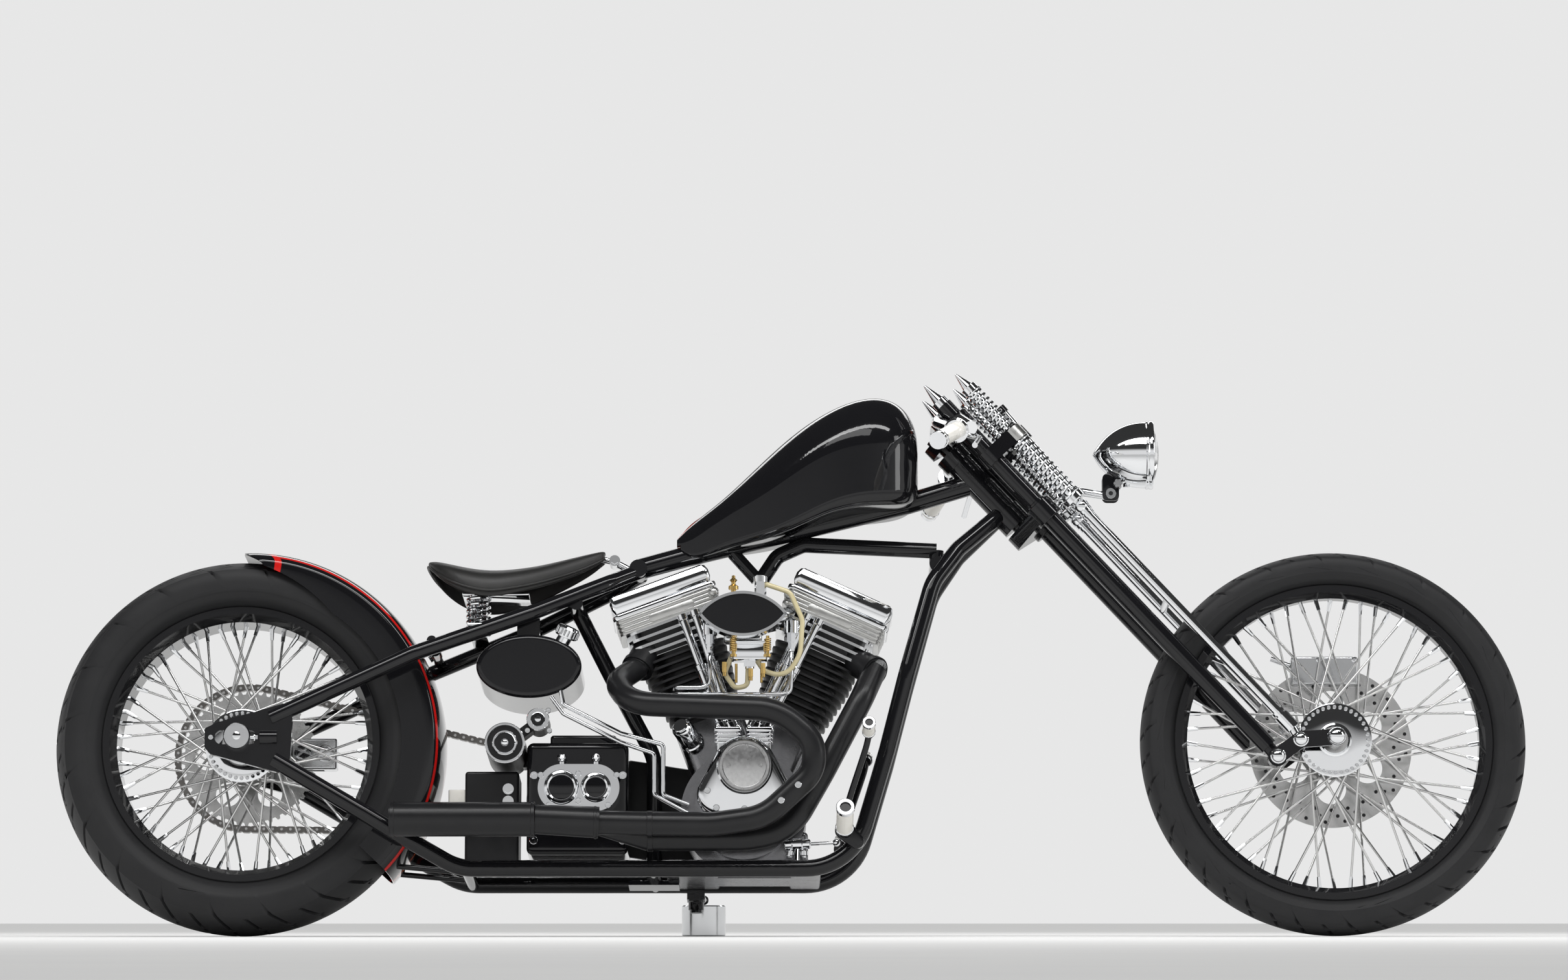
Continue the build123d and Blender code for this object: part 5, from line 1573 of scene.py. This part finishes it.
def timing_case():
    bm = wrapped(TIMING_ROUNDS, TIMING_INNER, TIMING_OUTER, TIMING_EASE, facing(0, 0, 0))
    x, z, radius = TIMING_ROUNDS[0]
    turned(bm, IGNITION_BOSS, facing(x, -TIMING_INNER, z), 64)
    for x in LIFTERS:
        place = Matrix.Translation((x, LIFTER_SIDE, 0))
        slab(bm, place, (20, 11), 312, 358, 5)
        for level in LIFTER_FINS:
            slab(bm, place, (24, 14.5), level, level + 3.4, 6, 0.8)
        slab(bm, place, (25, 15), 353, 360.5, 6, 1.2)
        for step in (-19, 19):
            cap_screw(bm, (x + step, LIFTER_SIDE - 10, 360), (0, 0, 1), 3.6, 4)
    made = piece("timing_case", bm, "frame", CHROME, 40)
    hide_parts("timing_cover")


timing_case()

# %% [markdown]
# Two dark shapes give the engine depth. The black inner wall of the primary drive, seen between
# engine and gearbox, wraps round two circles as the timing case does. A finned head is bright
# fin edges over a core that lies in shade, so a dark sleeve of painted shade stands just outside
# each core; a darker light would do that for this view only.

# %% Inner primary and painted shade on the head cores
PRIMARY_ROUNDS = ((CRANK.x, CRANK.z, 87), (GEARBOX_SHAFT.x, GEARBOX_SHAFT.z, 87))
PRIMARY_WALL = (-136.3, -134.4)
HEAD_SHADE_HALF, BARREL_TOP = (67, 63.2), 320


def inner_primary():
    bm = wrapped(PRIMARY_ROUNDS, *PRIMARY_WALL, 0.6, facing(0, 0, 0))
    piece("inner_primary", bm, "frame", SATIN_BLACK)


def head_core_shade_sleeves():
    # painted shade: a dark sleeve just outside each polished head core, where the fins' core lies
    # in shade
    bm = bmesh.new()
    for place in CYLINDERS:
        slab(bm, place, HEAD_SHADE_HALF, BARREL_TOP + 1, HEAD_TOP - 8, 20)
    piece("head_core_shade", bm, "frame", FIN_BLACK)


inner_primary()
head_core_shade_sleeves()

# %% [markdown]
# Bright plumbing stands out against the black engine: two breather lines bent down from the
# head fittings and back along the barrel, the oil filter beside the case, and the brake's
# cylinder on the lower rail. The lines are curves with a round bevel, because a curve bends
# a tube without any pinching; the others are turned or drawn from bars.

# %% Breather lines, oil filter and brake cylinder
RIGHT_LINE = ((0, -104, 500), (0, -112, 484), (0, -114, 470), (0, -114, 440), (-2, -114, 424),
              (-14, -114, 419), (-34, -114, 419), (-120, -114, 419), (-190, -114, 419),
              (-206, -114, 419), (-211, -104, 419), (-211, -66, 419))
LEFT_LINE = ((-145, -104, 497), (-145, -112, 484), (-145, -114, 470), (-145, -114, 452),
             (-148, -114, 436), (-160, -114, 431), (-176, -114, 431), (-198, -114, 431),
             (-206, -112, 431), (-208, -100, 431), (-208, -66, 431))
LINE_RADIUS = 4
FILTER = [(0, 66), (13, 66), (14, 65), (14, 62), (17, 61), (19, 58), (19, 16), (21, 14), (21, 8),
          (18, 6), (18, 0), (0, 0)]
CYLINDER = [(0, 0), (8, 0), (9, 1), (9, 12), (11, 14), (11, 30), (9, 32), (9, 44), (7, 46),
            (3.2, 47), (3.2, 88), (0, 88)]
BRAKE_SIDE = -100


def plumbing():
    made = bent_rod("breather_line_right", RIGHT_LINE, LINE_RADIUS, "frame", CHROME)
    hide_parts("breather_lines")
    bent_rod("breather_line_left", LEFT_LINE, LINE_RADIUS, "frame", CHROME)
    bm = bmesh.new()
    turned(bm, FILTER, aimed((-172, -58, 334), (-198, -110, 364)), 40)
    piece("oil_filter", bm, "frame", CHROME)


def brake_cylinder():
    bm = bmesh.new()
    turned(bm, CYLINDER, aimed((-12, BRAKE_SIDE, 151), (60, BRAKE_SIDE, 154)), 28)
    bmesh.ops.create_uvsphere(bm, u_segments=20, v_segments=12, radius=7,
                              matrix=Matrix.Translation((80, BRAKE_SIDE, 155)))
    washer = [(0, 0), (7, 0), (8, 1), (8, 8), (7, 9), (0, 9)]
    for x in (-2, 22):
        pillar(bm, x, BRAKE_SIDE, 128, 144, 4.5, 6)
        turned(bm, washer, Matrix.Translation((x, BRAKE_SIDE, 131)), 20)
    bar(bm, (10, BRAKE_SIDE, 148), (10, -116, 114), 5, 12)
    piece("brake_cylinder", bm, "frame", CHROME)


plumbing()
brake_cylinder()

# %% [markdown]
# Each foot control is a rounded bracket on the frame's bend with a slim bent lever. The bracket
# wraps round two circles, like the timing case, and the lever is a curve with a round bevel.

# %% Foot controls
BRACKET_ROUNDS = ((94, 172, 17), (116, 152, 13))
# inner end, outer end, radius, on the left
BRACKET_BOSSES = (((94, 140, 168), (94, 157, 173.5), 9), ((93, 146, 186), (93, 160, 186), 8),
                  ((137, 172, 337.5), (137, 185, 341), 8))
FOOT_LEVER = ((93, 152, 178), (94, 152, 196), (104, 155, 232), (130, 170, 308), (136, 175, 330),
              (137, 178, 340))


def foot_controls():
    for side, name in ((RIGHT, "right"), (LEFT, "left")):
        place = facing(0, 0, 0, side) @ Matrix.Diagonal((1, -side, 1, 1))
        bm = wrapped(BRACKET_ROUNDS, 130, 147, 3, place)
        for inner, outer, radius in BRACKET_BOSSES:
            bar(bm, mirrored(inner, side), mirrored(outer, side), radius, 24)
        made = piece("foot_bracket_" + name, bm, "frame", GLOSS_BLACK)
        if side == RIGHT:
            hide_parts("foot_controls")
        bent_rod("foot_lever_" + name, [mirrored(point, side) for point in FOOT_LEVER], 5.6,
                 "frame", GLOSS_BLACK)


foot_controls()
